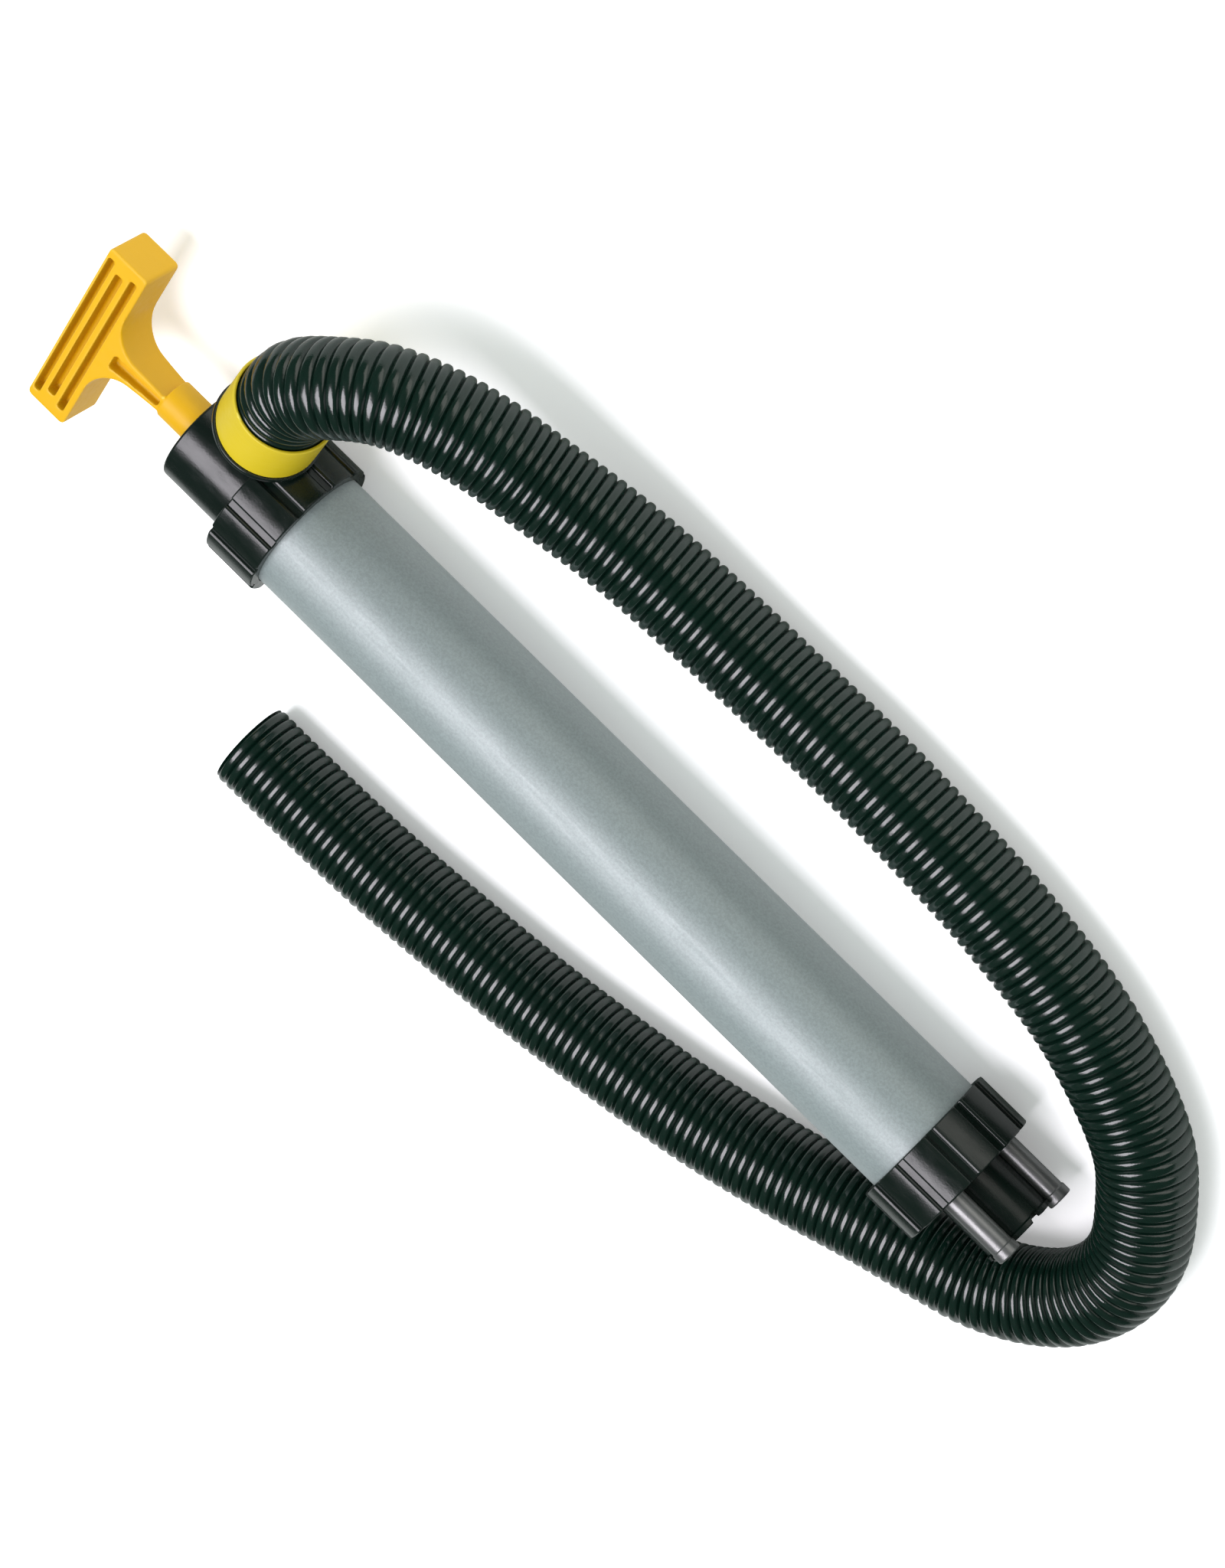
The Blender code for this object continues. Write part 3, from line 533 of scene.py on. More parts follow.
def moulded_plastic(name, colour, roughness, worn, drift=0.12, specular=0.5, ior=1.45):
    """Moulded plastic: cloudy colour, a fine grain, faint rubbed streaks and paler edges."""
    paint = Paint(name, specular=specular, ior=ior)
    cloud = paint.noise(35.0)
    base = paint.mixed(cloud, scaled(colour, 1.0 - drift), scaled(colour, 1.0 + drift))
    rubbed = paint.product(paint.edges(), paint.noise(260.0, detail=4.0, roughness=0.7))
    paint.colour(paint.mixed(rubbed, base, worn))
    streaks = paint.noise(420.0, roughness=0.6, stretch=(0.25, 1.0, 1.0))
    paint.roughness(streaks, roughness - 0.05, roughness + 0.08)
    paint.bump(paint.noise(1500.0, detail=2.0), height=0.00003)
    paint.bump(paint.noise(120.0, detail=2.0), height=0.00006)
    return paint.material


def satin_tube(name, colour):
    """Satin anodised pipe: a fine speckle, faint lines along the pipe and a slow drift of tone."""
    paint = Paint(name, metallic=0.12, specular=1.0, ior=1.65)
    paint.shader.inputs["Sheen Weight"].default_value = TUBE_SHEEN
    paint.shader.inputs["Sheen Roughness"].default_value = TUBE_SHEEN_ROUGHNESS
    cloud = paint.noise(14.0, roughness=0.6, stretch=(0.4, 1.0, 1.0))
    base = paint.mixed(cloud, scaled(colour, 0.94), scaled(colour, 1.05))
    speckle = paint.noise(1000.0, detail=2.0, roughness=0.7)
    grain = paint.ranged(speckle, SPECKLE_LOW, SPECKLE_HIGH, 0.0, 1.0)
    grained = paint.mixed(grain, scaled(colour, 0.8), scaled(colour, 1.18))
    paint.colour(paint.mixed(SPECKLE_SHARE, base, grained))
    brushed = paint.noise(500.0, roughness=0.6, stretch=(0.08, 1.0, 1.0))
    paint.roughness(brushed, 0.48, 0.58)
    paint.bump(speckle, height=0.00004)
    lines = paint.noise(900.0, detail=2.0, roughness=0.5, stretch=(0.03, 1.0, 1.0))
    paint.bump(lines, height=0.00002)
    return paint.material


def turned_metal(name, colour, roughness, stretch):
    """Drawn or turned metal, with fine lines at right angles to the stretched direction."""
    paint = Paint(name, metallic=1.0)
    lines = paint.noise(2600.0, roughness=0.6, stretch=stretch)
    paint.colour(paint.mixed(lines, scaled(colour, 0.88), scaled(colour, 1.08)))
    paint.roughness(lines, roughness - 0.07, roughness + 0.1)
    paint.bump(lines, height=0.00002)
    return paint.material


def soft_rubber(name, colour):
    """Dull rubber with a pale, cloudy bloom."""
    paint = Paint(name, specular=0.35)
    bloom = paint.noise(90.0, detail=4.0, roughness=0.65)
    paint.colour(paint.mixed(bloom, scaled(colour, 0.7), scaled(colour, 1.8)))
    paint.roughness(bloom, 0.62, 0.8)
    paint.bump(paint.noise(1100.0), height=0.00005)
    return paint.material


BLACK = (0.003, 0.0075, 0.0055)
# painted light: the pegs' paler grey copy of the foot's black plastic stands in for how brightly they catch
# the light
PEG_PAINTED_LIGHT_GREY = (0.045, 0.05, 0.047)
HOSE_BLACK = (0.0018, 0.0105, 0.0068)
HANDLE_YELLOW = (0.6, 0.33, 0.003)
COLLAR_YELLOW = (0.5, 0.38, 0.006)
INNER_GREY = (0.02, 0.022, 0.022)
NYLON_WHITE = (0.7, 0.69, 0.64)
RUBBER_GREY = (0.018, 0.018, 0.018)
ROD_SILVER = (0.7, 0.71, 0.72)
STEEL_GREY = (0.58, 0.57, 0.55)
TUBE_GREY = (0.188, 0.234, 0.232)
TUBE_SHEEN = 0.3
TUBE_SHEEN_ROUGHNESS = 0.45
SPECKLE_LOW = 0.35
SPECKLE_HIGH = 0.65
SPECKLE_SHARE = 0.6

CAP_PAINT = moulded_plastic("cap_black", BLACK, 0.21, worn=(0.028, 0.034, 0.03), specular=0.55)
HEAD_PAINT = moulded_plastic("head_black", BLACK, 0.21, worn=(0.028, 0.034, 0.03), specular=0.6)
FOOT_PAINT = moulded_plastic("foot_black", BLACK, 0.24, worn=(0.02, 0.024, 0.022), specular=0.35)
# painted light: a paler, glossier copy of the black plastic, for the pegs' brighter look
PEG_PAINTED_LIGHT = moulded_plastic("peg_painted_light_grey", PEG_PAINTED_LIGHT_GREY, 0.36, worn=(0.1, 0.105, 0.1), specular=1.0, ior=1.8)
INNER_BLACK = moulded_plastic("inner_black", INNER_GREY, 0.42, worn=(0.05, 0.05, 0.05))
HOSE_PAINT = moulded_plastic("hose_black", HOSE_BLACK, 0.17, worn=(0.006, 0.02, 0.013), drift=0.2,
                             specular=0.85)
HANDLE_PAINT = moulded_plastic("handle_yellow", HANDLE_YELLOW, 0.42, worn=(0.95, 0.7, 0.16), drift=0.05,
                               specular=0.3)
COLLAR_PAINT = moulded_plastic("collar_yellow", COLLAR_YELLOW, 0.42, worn=(0.95, 0.85, 0.2), drift=0.05,
                               specular=0.35)
NYLON_PAINT = moulded_plastic("nylon_white", NYLON_WHITE, 0.5, worn=(0.8, 0.79, 0.75), drift=0.06)
TUBE_PAINT = satin_tube("tube_satin", TUBE_GREY)
ROD_PAINT = turned_metal("rod_drawn", ROD_SILVER, 0.26, stretch=(0.04, 1.0, 1.0))
STEEL_PAINT = turned_metal("steel_turned", STEEL_GREY, 0.28, stretch=(1.0, 0.15, 0.15))
RUBBER_PAINT = soft_rubber("rubber_black", RUBBER_GREY)


def dress(item, material, body, slot, *nodes):
    """Paint a piece, let it ride on its body, and let it stand for CAD nodes."""
    item.data.materials.clear()
    item.data.materials.append(material)
    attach(item, body)
    if nodes:
        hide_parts(*nodes)
    return item


def repaint(node, material):
    """Give a CAD node that keeps its own shape a better material."""
    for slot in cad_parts[node].material_slots:
        slot.material = material


# ---------------------------------------------------------------- camera and hose

def make_camera():
    """The camera, with its own axes worked out from its direction and roll."""
    side = Vector(CAMERA_SIDE).normalized()
    along = (Vector((1.0, 0.0, 0.0)) - side * side.x).normalized()
    across = side.cross(along)
    roll = math.radians(CAMERA_ROLL)
    right = along * math.cos(roll) + across * math.sin(roll)
    up = across * math.cos(roll) - along * math.sin(roll)
    data = bpy.data.cameras.new("camera")
    data.lens = CAMERA_LENS
    data.shift_y = CAMERA_RISE
    data.clip_start = CAMERA_NEAR
    camera = bpy.data.objects.new("camera", data)
    camera.matrix_world = Matrix.Translation(CAMERA_PLACE) @ Matrix((right, up, side)).transposed().to_4x4()
    bpy.context.scene.collection.objects.link(camera)
    bpy.context.scene.camera = camera


def curve_through(points, steps):
    """Points along a centripetal Catmull-Rom curve through the given points."""
    points = [Vector(point) for point in points]
    ends = [points[0] * 2 - points[1]] + points + [points[-1] * 2 - points[-2]]
    line = []
    for a, b, c, d in zip(ends, ends[1:], ends[2:], ends[3:]):
        knots = [0.0]
        for first, second in ((a, b), (b, c), (c, d)):
            knots.append(knots[-1] + (second - first).length ** 0.5)
        for step in range(steps):
            t = knots[1] + (knots[2] - knots[1]) * step / steps
            ab = a.lerp(b, (t - knots[0]) / (knots[1] - knots[0]))
            bc = b.lerp(c, (t - knots[1]) / (knots[2] - knots[1]))
            cd = c.lerp(d, (t - knots[2]) / (knots[3] - knots[2]))
            abc = ab.lerp(bc, (t - knots[0]) / (knots[2] - knots[0]))
            bcd = bc.lerp(cd, (t - knots[1]) / (knots[3] - knots[1]))
            line.append(abc.lerp(bcd, (t - knots[1]) / (knots[2] - knots[1])))
    line.append(points[-1])
    return line


def evenly(line, spacing):
    """The same line with points at an even spacing, and its last point kept."""
    reach = [0.0]
    for first, second in zip(line, line[1:]):
        reach.append(reach[-1] + (second - first).length)
    count = round(reach[-1] / spacing)
    points = []
    index = 0
    for step in range(count + 1):
        goal = reach[-1] * step / count
        while index < len(line) - 2 and reach[index + 1] < goal:
            index += 1
        share = (goal - reach[index]) / (reach[index + 1] - reach[index])
        points.append(line[index].lerp(line[index + 1], share))
    return points


def carried_frames(line):
    """A side and an up vector at each point of a line, carried along it without twisting."""
    frames = []
    up = Vector((0.0, 0.0, 1.0))
    for index in range(len(line)):
        ahead = (line[min(index + 1, len(line) - 1)] - line[max(index - 1, 0)]).normalized()
        up = (up - ahead * up.dot(ahead)).normalized()
        frames.append((ahead.cross(up), up))
    return frames


def ridge_height(share):
    """The hose's outer profile over one pitch: 0 in the valley, 1 on the crest."""
    return 1.0 - abs(2.0 * share - 1.0) ** RIDGE_SQUARENESS


def make_hose():
    """A ridged hose, hollow from end to end, pushed over the tail inside the collar."""
    start = CENTRE + outlet_point(HOSE_START)
    mouth = CENTRE + outlet_point(COLLAR_END + GAP)
    lead = mouth + outlet_direction() * HOSE_LEAD
    line = evenly(curve_through([start, mouth, lead] + list(HOSE_ROUTE), HOSE_CURVE_STEPS),
                  RIDGE_PITCH / RIDGE_STEPS)
    frames = carried_frames(line)
    bm = bmesh.new()

    def ring(index, radius):
        side, up = frames[index]
        loop = []
        for step in range(HOSE_SIDES):
            turn = 2 * math.pi * step / HOSE_SIDES
            loop.append(bm.verts.new(line[index] + (side * math.cos(turn) + up * math.sin(turn)) * radius))
        return loop

    outer = [ring(index, HOSE_RADIUS - RIDGE_DEPTH * (1 - ridge_height(index % RIDGE_STEPS / RIDGE_STEPS)))
             for index in range(len(line))]
    inner = [ring(index, HOSE_BORE) for index in range(0, len(line), RIDGE_STEPS // 2)]
    if (len(line) - 1) % (RIDGE_STEPS // 2):
        inner.append(ring(len(line) - 1, HOSE_BORE))
    loops = outer + inner[::-1]
    for first, second in zip(loops, loops[1:] + loops[:1]):
        for step in range(HOSE_SIDES):
            after = (step + 1) % HOSE_SIDES
            bm.faces.new((first[step], first[after], second[after], second[step]))
    hose = finish_mesh("corrugated_hose", bm, Matrix.Identity(4))
    hose.data.shade_smooth()
    dress(hose, HOSE_PAINT, "barrel", "hose_plastic", "discharge_hose")


# ---------------------------------------------------------------- barrel

def make_tube():
    bore = TUBE_RADIUS - TUBE_WALL
    tube = turned_piece("barrel_tube", [
        (-TUBE_HALF, bore, TUBE_EDGE),
        (-TUBE_HALF, TUBE_RADIUS, TUBE_EDGE),
        (TUBE_HALF, TUBE_RADIUS, TUBE_EDGE),
        (TUBE_HALF, bore, TUBE_EDGE),
    ])
    weigh_normals(tube)
    dress(tube, TUBE_PAINT, "barrel", "tube_aluminium", "pump_tube")


def cap_angles():
    """Angles round a cap, close together where the grooves turn into the lobes."""
    pitch = 360.0 / CAP_LOBES
    wall = [GROOVE_FLOOR + (GROOVE_EDGE - GROOVE_FLOOR) * step / GROOVE_STEPS
            for step in range(GROOVE_STEPS + 1)]
    face = [GROOVE_EDGE + (pitch / 2 - GROOVE_EDGE) * step / LOBE_STEPS
            for step in range(1, LOBE_STEPS + 1)]
    half = [0.0] + wall + face
    steps = half + [pitch - angle for angle in half[-2:0:-1]]
    return [CAP_TURN + pitch * lobe + step for lobe in range(CAP_LOBES) for step in steps]


def lobed(radius):
    """Full radius on the lobes, dipping into a round-edged groove between two of them."""
    pitch = 360.0 / CAP_LOBES

    def reach(angle):
        off = abs((angle - CAP_TURN + pitch / 2) % pitch - pitch / 2)
        share = min(max((off - GROOVE_FLOOR) / (GROOVE_EDGE - GROOVE_FLOOR), 0.0), 1.0)
        climb = share ** 0.5 if share < 1.0 else 1.0
        return radius - GROOVE_DEPTH * (1.0 - climb)
    return reach


def make_caps():
    """The two screwed caps, with straight grooves between their lobes."""
    inside = CAP_LIP_X + CAP_LIP
    outline = softened([
        (CAP_LIP_X, CAP_LIP_BORE, 0.0),
        (CAP_LIP_X, CAP_RADIUS, CAP_EDGE),
        (CAP_RIM_X, CAP_RADIUS, CAP_EDGE),
        (CAP_RIM_X, CAP_THREAD_BORE, 0.0),
        (inside, CAP_THREAD_BORE, 0.0),
        (inside, CAP_LIP_BORE, 0.0),
    ])
    grooved = CAP_RADIUS - 2 * CAP_EDGE
    for name, side in (("upper", -1), ("lower", 1)):
        profile = [(side * x, lobed(radius) if radius > grooved else radius) for x, radius in outline]
        cap = finish_mesh(f"{name}_grip_cap", turned(profile, cap_angles()))
        weigh_normals(cap)
        dress(cap, CAP_PAINT, "barrel", "black_plastic", f"{name}_cap")


# ---------------------------------------------------------------- head and outlet

def make_head():
    """The head with its recess, and the outlet's neck and flange."""
    recess_x = HEAD_TOP_X + RECESS_DEPTH
    web_x = recess_x + WEB_THICK
    collar_x = -CAP_RIM_X + GAP
    spigot_x = -SHOULDER_X + SPIGOT_LENGTH
    head = turned_piece("pump_head", [
        (HEAD_TOP_X, RECESS_RADIUS, RECESS_EDGE),
        (HEAD_TOP_X, HEAD_RADIUS, HEAD_EDGE),
        (collar_x, HEAD_RADIUS, 0.0),
        (collar_x, SKIRT_RADIUS, SKIRT_EDGE),
        (-SKIRT_END, SKIRT_RADIUS, 0.0),
        (-SKIRT_END, CAP_LIP_BORE, 0.0),
        (-SHOULDER_X, CAP_LIP_BORE, 0.0),
        (-SHOULDER_X, SPIGOT_RADIUS, 0.0),
        (spigot_x, SPIGOT_RADIUS, 0.0),
        (spigot_x, HEAD_BORE, 0.0),
        (HEAD_ROOF_X, HEAD_BORE, 0.0),
        (HEAD_ROOF_X, BUSH_SEAT_RADIUS, 0.0),
        (web_x, BUSH_SEAT_RADIUS, 0.0),
        (web_x, WEB_BORE, 0.0),
        (recess_x, WEB_BORE, FINE_EDGE),
        (recess_x, RECESS_RADIUS, 0.0),
    ])
    rise = math.radians(OUTLET_RISE)
    sideways = Vector((0.0, math.cos(rise), math.sin(rise)))
    neck_axis = Vector((NECK_X, 0.0, 0.0))
    middle = (FLANGE_START + FLANGE_END) / 2
    neck = solid_between("neck", neck_axis + sideways * NECK_START, neck_axis + sideways * middle,
                         NECK_RADIUS)
    flange = solid_between("flange", outlet_point(FLANGE_START), outlet_point(FLANGE_END),
                           FLANGE_RADIUS, ROUND_STEPS, FLANGE_EDGE)
    neck_hole = solid_between("neck_hole", neck_axis + sideways * NECK_HOLE_START,
                              neck_axis + sideways * middle, NECK_BORE)
    flange_hole = solid_between("flange_hole", outlet_point(middle - CUTTER_REACH),
                                outlet_point(TAIL_HOLE_END), TAIL_BORE)
    combine(head, neck, "UNION")
    combine(head, flange, "UNION")
    combine(head, neck_hole, "DIFFERENCE")
    combine(head, flange_hole, "DIFFERENCE")
    shade(head)
    weigh_normals(head)
    dress(head, HEAD_PAINT, "barrel", "black_plastic", "head_housing")


def make_collar():
    """The yellow ring that holds the hose on its tail."""
    start = FLANGE_END + GAP
    collar = turned_piece("hose_ring", [
        (start, COLLAR_BORE, FINE_EDGE),
        (start, COLLAR_RADIUS, COLLAR_EDGE / 2),
        (COLLAR_END, COLLAR_RADIUS, COLLAR_EDGE),
        (COLLAR_END, COLLAR_BORE, COLLAR_MOUTH_EDGE),
    ], ROUND_STEPS, to_outlet())
    weigh_normals(collar)
    dress(collar, COLLAR_PAINT, "barrel", "collar_plastic", "hose_collar")


# ---------------------------------------------------------------- foot

def peg_profile():
    """A peg: a slightly slimmer stem with a round-edged tip."""
    tip_x = PEG_END - PEG_TIP
    corners = [
        (PEG_START_X, -PEG_STEM_RADIUS, 0.0),
        (PEG_START_X, PEG_STEM_RADIUS, 0.0),
        (tip_x, PEG_STEM_RADIUS, FINE_EDGE),
        (tip_x + PEG_TIP_STEP, PEG_RADIUS, PEG_TIP_EDGE),
        (PEG_END, PEG_RADIUS, PEG_END_EDGE),
        (PEG_END, -PEG_RADIUS, 0.0),
    ]
    rim = softened(corners)[1:-1]
    return [(PEG_START_X, 0.0)] + rim + [(PEG_END, 0.0)]


def make_foot():
    """The inlet housing: its threaded skirt, inlet pipe and the pegs that hold it off the bottom."""
    foot = turned_piece("pump_foot", [
        (SHOULDER_X - SPIGOT_LENGTH, HEAD_BORE, 0.0),
        (SHOULDER_X - SPIGOT_LENGTH, SPIGOT_RADIUS, 0.0),
        (SHOULDER_X, SPIGOT_RADIUS, 0.0),
        (SHOULDER_X, CAP_LIP_BORE, 0.0),
        (SKIRT_END, CAP_LIP_BORE, 0.0),
        (SKIRT_END, SKIRT_RADIUS, 0.0),
        (CAP_RIM_X, SKIRT_RADIUS, SKIRT_EDGE),
        (CAP_RIM_X, INLET_RADIUS, INLET_FILLET),
        (INLET_END - INLET_LIP - FOOT_EDGE, INLET_RADIUS, 0.0),
        (INLET_END - INLET_LIP, INLET_LIP_RADIUS, 0.0),
        (INLET_END, INLET_LIP_RADIUS, FOOT_EDGE),
        (INLET_END, INLET_BORE, INLET_MOUTH_EDGE),
        (CAP_RIM_X, INLET_BORE, 0.0),
        (CAP_RIM_X - FUNNEL_DEPTH, HEAD_BORE, 0.0),
    ])
    for index in range(PEG_COUNT):
        y, z = on_circle(PEG_CIRCLE, PEG_START_ANGLE + 360.0 * index / PEG_COUNT)
        bm = turned(peg_profile(), even_angles(SMALL_STEPS), closed=False)
        peg = finish_mesh(f"foot_peg_{index + 1}", bm, TO_PART @ Matrix.Translation((0.0, y, z)))
        core = foot.copy()
        core.data = foot.data.copy()
        bpy.context.scene.collection.objects.link(core)
        combine(peg, core, "DIFFERENCE")
        shade(peg)
        weigh_normals(peg)
        # the pegs wear a paler copy of the black plastic: a painted lighter tone for their brighter look
        dress(peg, PEG_PAINTED_LIGHT, "barrel", "black_plastic")
    for index in range(NOTCH_COUNT):
        y, z = on_circle(INLET_RADIUS, PEG_START_ANGLE + NOTCH_TURN + 360.0 * index / NOTCH_COUNT)
        notch = solid_between("notch", (INLET_END, y * NOTCH_INSIDE, z * NOTCH_INSIDE),
                              (INLET_END, y * NOTCH_OUTSIDE, z * NOTCH_OUTSIDE),
                              NOTCH_WIDTH / 2, HOLE_STEPS)
        combine(foot, notch, "DIFFERENCE")
    shade(foot)
    weigh_normals(foot)
    dress(foot, FOOT_PAINT, "barrel", "black_plastic", "foot_housing")


# ---------------------------------------------------------------- plunger

def make_rod():
    """The drive rod: two flats, a slim end for the piston, and the hole for the handle's pin."""
    section = flatted(ROD_RADIUS, ROD_FLAT)
    slim = flatted(ROD_RADIUS - GAP, ROD_FLAT - GAP)
    profile = [
        (ROD_START_X, 0.0),
        (ROD_START_X, slim),
        (ROD_START_X + GAP, section),
        (ROD_NECK_X, section),
        (ROD_NECK_X, ROD_NECK_RADIUS),
        (ROD_END_X - GAP, ROD_NECK_RADIUS),
        (ROD_END_X, ROD_NECK_RADIUS - GAP),
        (ROD_END_X, 0.0),
    ]
    rod = finish_mesh("drive_rod", turned(profile, even_angles(ROUND_STEPS), closed=False))
    hole = solid_between("pin_hole", (PIN_X, 0.0, -GRIP_RADIUS), (PIN_X, 0.0, GRIP_RADIUS),
                         PIN_RADIUS + GAP, HOLE_STEPS)
    combine(rod, hole, "DIFFERENCE")
    shade(rod)
    weigh_normals(rod)
    dress(rod, ROD_PAINT, "plunger", "rod_aluminium", "piston_rod")


def slab(name, outline, low, high, edge=0.0):
    """Extrude an (x, y) outline of the handle from z = low to z = high, with rounded rims."""
    bm = bmesh.new()
    face = bm.faces.new([bm.verts.new((x, y, low)) for x, y in outline])
    grown = bmesh.ops.extrude_face_region(bm, geom=[face])
    moved = [item for item in grown["geom"] if isinstance(item, bmesh.types.BMVert)]
    bmesh.ops.translate(bm, verts=moved, vec=(0.0, 0.0, high - low))
    if edge:
        rims = [line for line in bm.edges if line.verts[0].co.z == line.verts[1].co.z]
        bmesh.ops.bevel(bm, geom=rims, offset=edge, segments=RIM_STEPS, profile=0.5, affect="EDGES")
    return finish_mesh(name, bm, Matrix.Identity(4))


def bar_solid():
    """The handle's cross bar, without its slots."""
    half = BAR_LENGTH / 2
    end = BAR_TOP_X + BAR_HEIGHT
    outline = softened([
        (BAR_TOP_X, -half, BAR_CORNER),
        (end, -half, BAR_CORNER),
        (end, half, BAR_CORNER),
        (BAR_TOP_X, half, BAR_CORNER),
    ])
    return slab("handle_grip", outline, -BAR_THICK / 2, BAR_THICK / 2, BAR_EDGE)


def stem_section(x):
    """Half width and half thickness of the stem at a station along the barrel's axis."""
    bar_end = BAR_TOP_X + BAR_HEIGHT
    along = max(x - bar_end, 0.0)
    rise = max(STEM_FILLET - along, 0.0)
    flare = STEM_FILLET - math.sqrt(STEM_FILLET ** 2 - rise ** 2)
    left = 1.0 - min(along / (STEM_END_X - bar_end), 1.0)
    deep = STEM_END_DEPTH + (BAR_THICK / 2 - STEM_INSET - STEM_END_DEPTH) * left ** 2
    wide = STEM_END_WIDTH + (STEM_TOP_WIDTH - STEM_END_WIDTH) * left + flare
    return wide, deep


def stem_solid():
    """Loft round-cornered sections from inside the bar to inside the grip's collar."""
    bar_end = BAR_TOP_X + BAR_HEIGHT
    stations = [bar_end - STEM_OVERLAP]
    stations += [bar_end + STEM_FILLET * (1 - math.cos(math.pi / 2 * step / STEM_STEPS))
                 for step in range(STEM_STEPS + 1)]
    rest = stations[-1] - STEM_END_X
    stations += [STEM_END_X + rest * (1 - step / STEM_SPANS) for step in range(1, STEM_SPANS + 1)]
    bm = bmesh.new()
    rings = []
    for x in stations:
        wide, deep = stem_section(x)
        outline = softened([(wide, deep, STEM_EDGE), (-wide, deep, STEM_EDGE),
                            (-wide, -deep, STEM_EDGE), (wide, -deep, STEM_EDGE)])
        rings.append([bm.verts.new((x, y, z)) for y, z in outline])
    for first, second in zip(rings, rings[1:]):
        for step in range(len(first)):
            after = (step + 1) % len(first)
            bm.faces.new((first[step], first[after], second[after], second[step]))
    bm.faces.new(rings[0])
    bm.faces.new(rings[-1])
    return finish_mesh("stem", bm, Matrix.Identity(4))


def slot_outline(x, length, width):
    """A slot with round corners, centred on y = 0 at the given x."""
    return softened([
        (x - width / 2, -length / 2, SLOT_CORNER),
        (x + width / 2, -length / 2, SLOT_CORNER),
        (x + width / 2, length / 2, SLOT_CORNER),
        (x - width / 2, length / 2, SLOT_CORNER),
    ])


def pocket_outline():
    """The stem's tapering pocket."""
    top = POCKET_TOP_WIDTH / 2
    end = POCKET_END_WIDTH / 2
    return softened([
        (POCKET_START_X, -top, POCKET_CORNER),
        (POCKET_END_X, -end, POCKET_CORNER),
        (POCKET_END_X, end, POCKET_CORNER),
        (POCKET_START_X, top, POCKET_CORNER),
    ])


def make_handle():
    """The T-handle: bar, stem and collar, slotted on its front and back faces."""
    still = Matrix.Identity(4)
    handle = bar_solid()
    combine(handle, stem_solid(), "UNION")
    grip = solid_between("grip", (GRIP_START_X, 0.0, 0.0), (GRIP_END_X, 0.0, 0.0),
                         GRIP_RADIUS, SMALL_STEPS, GRIP_EDGE, still)
    combine(handle, grip, "UNION")
    outside = BAR_THICK / 2 + CUTTER_REACH
    for face in (1, -1):
        floor = face * (BAR_THICK / 2 - SLOT_DEPTH)
        low, high = sorted((floor, face * outside))
        for offset, length, width in zip(SLOT_OFFSETS, SLOT_LENGTHS, SLOT_WIDTHS):
            outline = slot_outline(BAR_TOP_X + offset, length, width)
            combine(handle, slab("slot", outline, low, high), "DIFFERENCE")
        low, high = sorted((face * POCKET_FLOOR, face * outside))
        combine(handle, slab("pocket", pocket_outline(), low, high), "DIFFERENCE")
    grain = handle.modifiers.new("even_grain", "REMESH")
    grain.mode = "VOXEL"
    grain.voxel_size = HANDLE_GRAIN
    soft = handle.modifiers.new("soft_edges", "SMOOTH")
    soft.factor = HANDLE_SMOOTHING
    soft.iterations = HANDLE_PASSES
    applied(handle)
    socket = solid_between("socket", (ROD_START_X - GAP, 0.0, 0.0),
                           (GRIP_END_X + CUTTER_REACH, 0.0, 0.0), ROD_RADIUS + GAP, place=still)
    combine(handle, socket, "DIFFERENCE")
    handle.data.transform(TO_PART)
    hole = solid_between("pin_hole", (PIN_X, 0.0, -PIN_HOLE_HALF), (PIN_X, 0.0, PIN_HOLE_HALF),
                         PIN_RADIUS + GAP / 2, HOLE_STEPS)
    combine(handle, hole, "DIFFERENCE")
    shade(handle)
    dress(handle, HANDLE_PAINT, "plunger", "handle_plastic", "handle")


def make_pin():
    """The pin across the handle's collar and the rod."""
    pin = solid_between("cross_pin", (PIN_X, 0.0, -PIN_HALF), (PIN_X, 0.0, PIN_HALF), PIN_RADIUS,
                        HOLE_STEPS, FINE_EDGE)
    weigh_normals(pin)
    dress(pin, STEEL_PAINT, "plunger", "fitting_steel", "handle_pin")


def repaint_inner_pieces():
    """Materials for the pieces that keep their CAD shape."""
    groups = {
        INNER_BLACK: ("upper_ferrule", "lower_ferrule", "foot_valve_seat", "hose_tail",
                      "inlet_strainer"),
        RUBBER_PAINT: ("upper_gasket", "lower_gasket", "rod_seal", "foot_valve_disc",
                       "piston_valve_disc", "piston_cup_seal", "rod_bumper"),
        NYLON_PAINT: ("rod_bush", "piston_body", "piston_retainer"),
        STEEL_PAINT: ("foot_valve_guide", "valve_stop", "piston_nut"),
    }
    for material, nodes in groups.items():
        for node in nodes:
            repaint(node, material)


# ---------------------------------------------------------------- floor and light

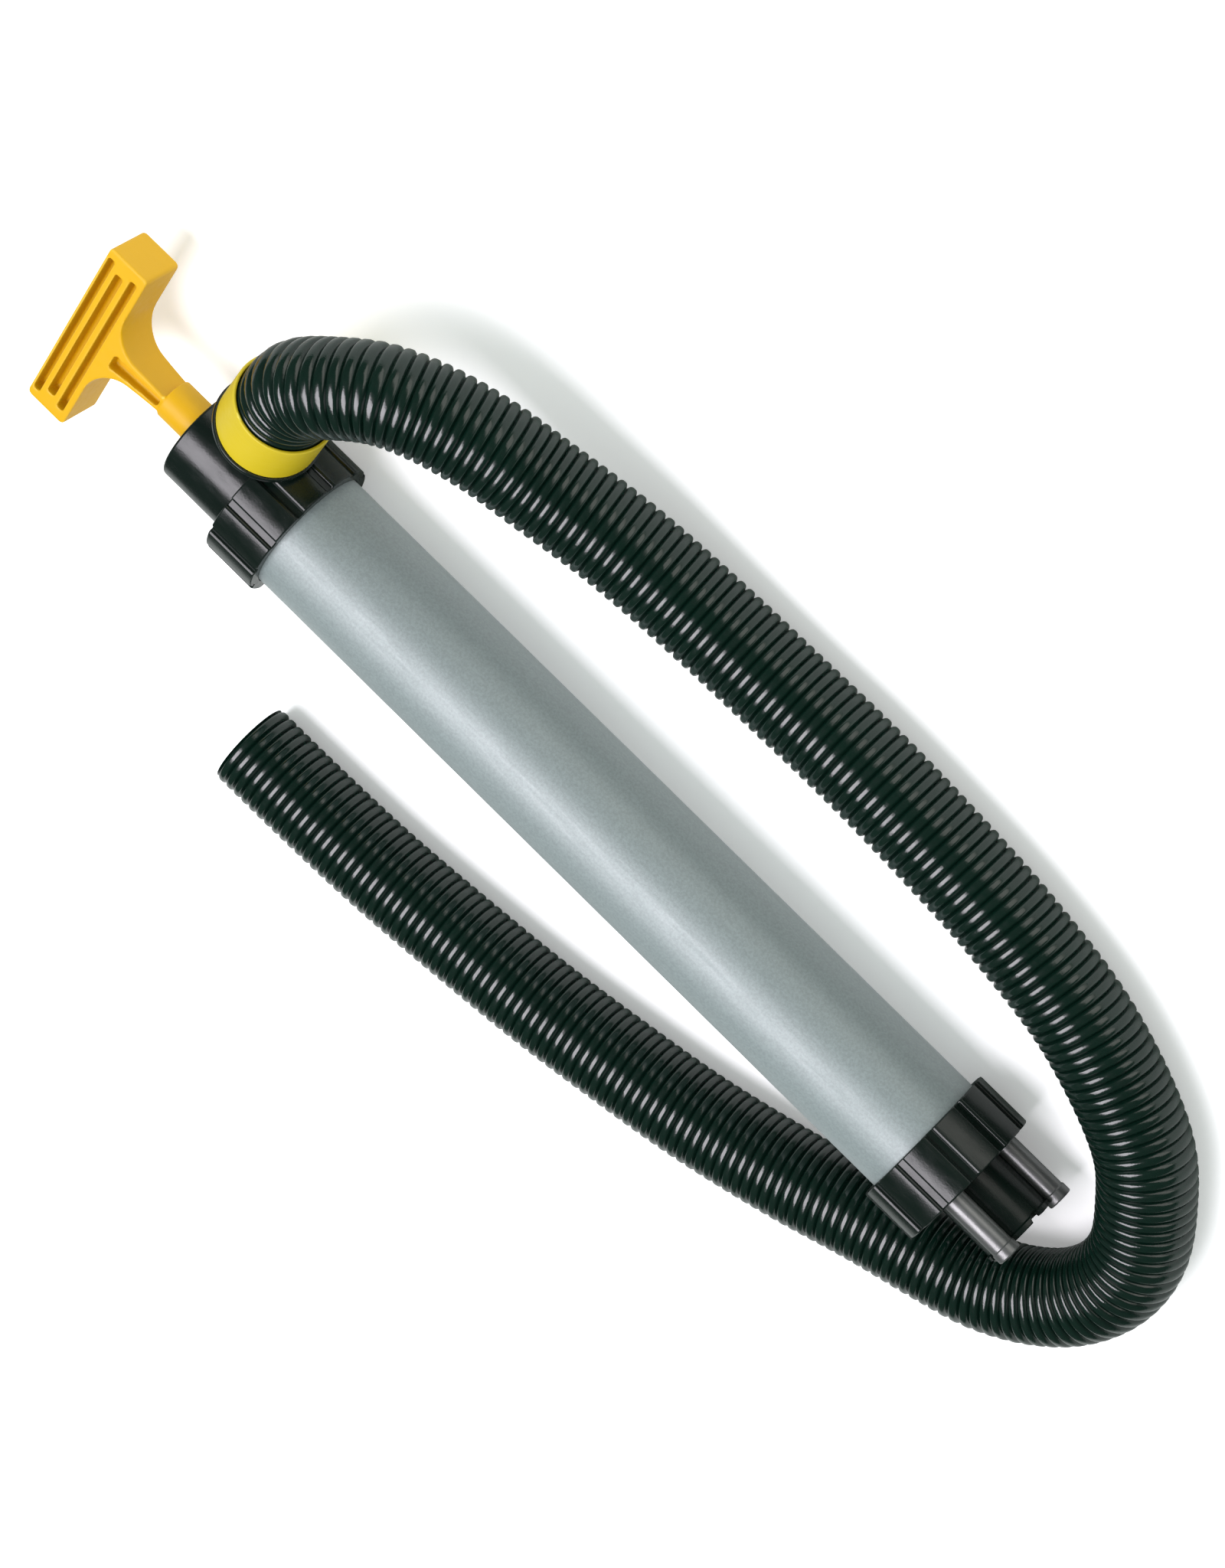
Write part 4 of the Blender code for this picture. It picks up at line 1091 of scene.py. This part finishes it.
def make_floor():
    """A pale, faintly glowing floor, with painted shade in its reflection: glossy rays see it grey and
    unlit.
    """
    bm = bmesh.new()
    bmesh.ops.create_grid(bm, x_segments=1, y_segments=1, size=FLOOR_SIZE / 2)
    floor = finish_mesh("floor", bm, Matrix.Translation((0.0, 0.0, -FLOOR_DROP)))
    paint = Paint("floor_pale", specular=0.1)
    mirrored = paint.tree.nodes.new("ShaderNodeLightPath").outputs["Is Glossy Ray"]
    pale = paint.mixed(paint.noise(3.0), FLOOR_PALE, FLOOR_PALER)
    # painted shade in the floor's reflection: glossy rays get the darker colour and no glow
    paint.colour(paint.mixed(mirrored, pale, FLOOR_PAINTED_REFLECTION_SHADE))
    paint.roughness(paint.noise(60.0), 0.85, 0.95)
    paint.shader.inputs["Emission Color"].default_value = (1.0, 1.0, 1.0, 1.0)
    glow = paint.ranged(mirrored, 0.0, 1.0, FLOOR_GLOW, 0.0)
    paint.tree.links.new(glow, paint.shader.inputs["Emission Strength"])
    floor.data.materials.append(paint.material)


def add_panel(name, place, turn, length, width, power, colour):
    """A soft rectangular light that the camera doesn't see."""
    data = bpy.data.lights.new(name, "AREA")
    data.shape = "RECTANGLE"
    data.size = length
    data.size_y = width
    data.energy = power
    data.color = colour
    panel = bpy.data.objects.new(name, data)
    panel.location = place
    panel.rotation_euler = [math.radians(angle) for angle in turn]
    panel.visible_camera = False
    bpy.context.scene.collection.objects.link(panel)


def make_lights():
    """The softbox, the fill and the even surround."""
    add_panel("softbox", SOFTBOX_PLACE, (0.0, 0.0, 0.0), SOFTBOX_LENGTH, SOFTBOX_WIDTH, SOFTBOX_POWER,
              SOFTBOX_COLOUR)
    add_panel("fill", FILL_PLACE, FILL_TURN, FILL_LENGTH, FILL_WIDTH, FILL_POWER, FILL_COLOUR)
    world = bpy.data.worlds.new("studio")
    world.use_nodes = True
    backdrop = world.node_tree.nodes["Background"]
    backdrop.inputs["Color"].default_value = (*WORLD_COLOUR, 1.0)
    ray = world.node_tree.nodes.new("ShaderNodeLightPath")
    strength = world.node_tree.nodes.new("ShaderNodeMapRange")
    strength.inputs["To Min"].default_value = WORLD_STRENGTH
    strength.inputs["To Max"].default_value = GLOSSY_STRENGTH
    world.node_tree.links.new(ray.outputs["Is Glossy Ray"], strength.inputs["Value"])
    world.node_tree.links.new(strength.outputs["Result"], backdrop.inputs["Strength"])
    bpy.context.scene.world = world
    bpy.context.scene.view_settings.view_transform = "Standard"


make_camera()
make_hose()
make_tube()
make_caps()
make_head()
make_collar()
make_foot()
make_rod()
make_handle()
make_pin()
repaint_inner_pieces()
make_floor()
make_lights()
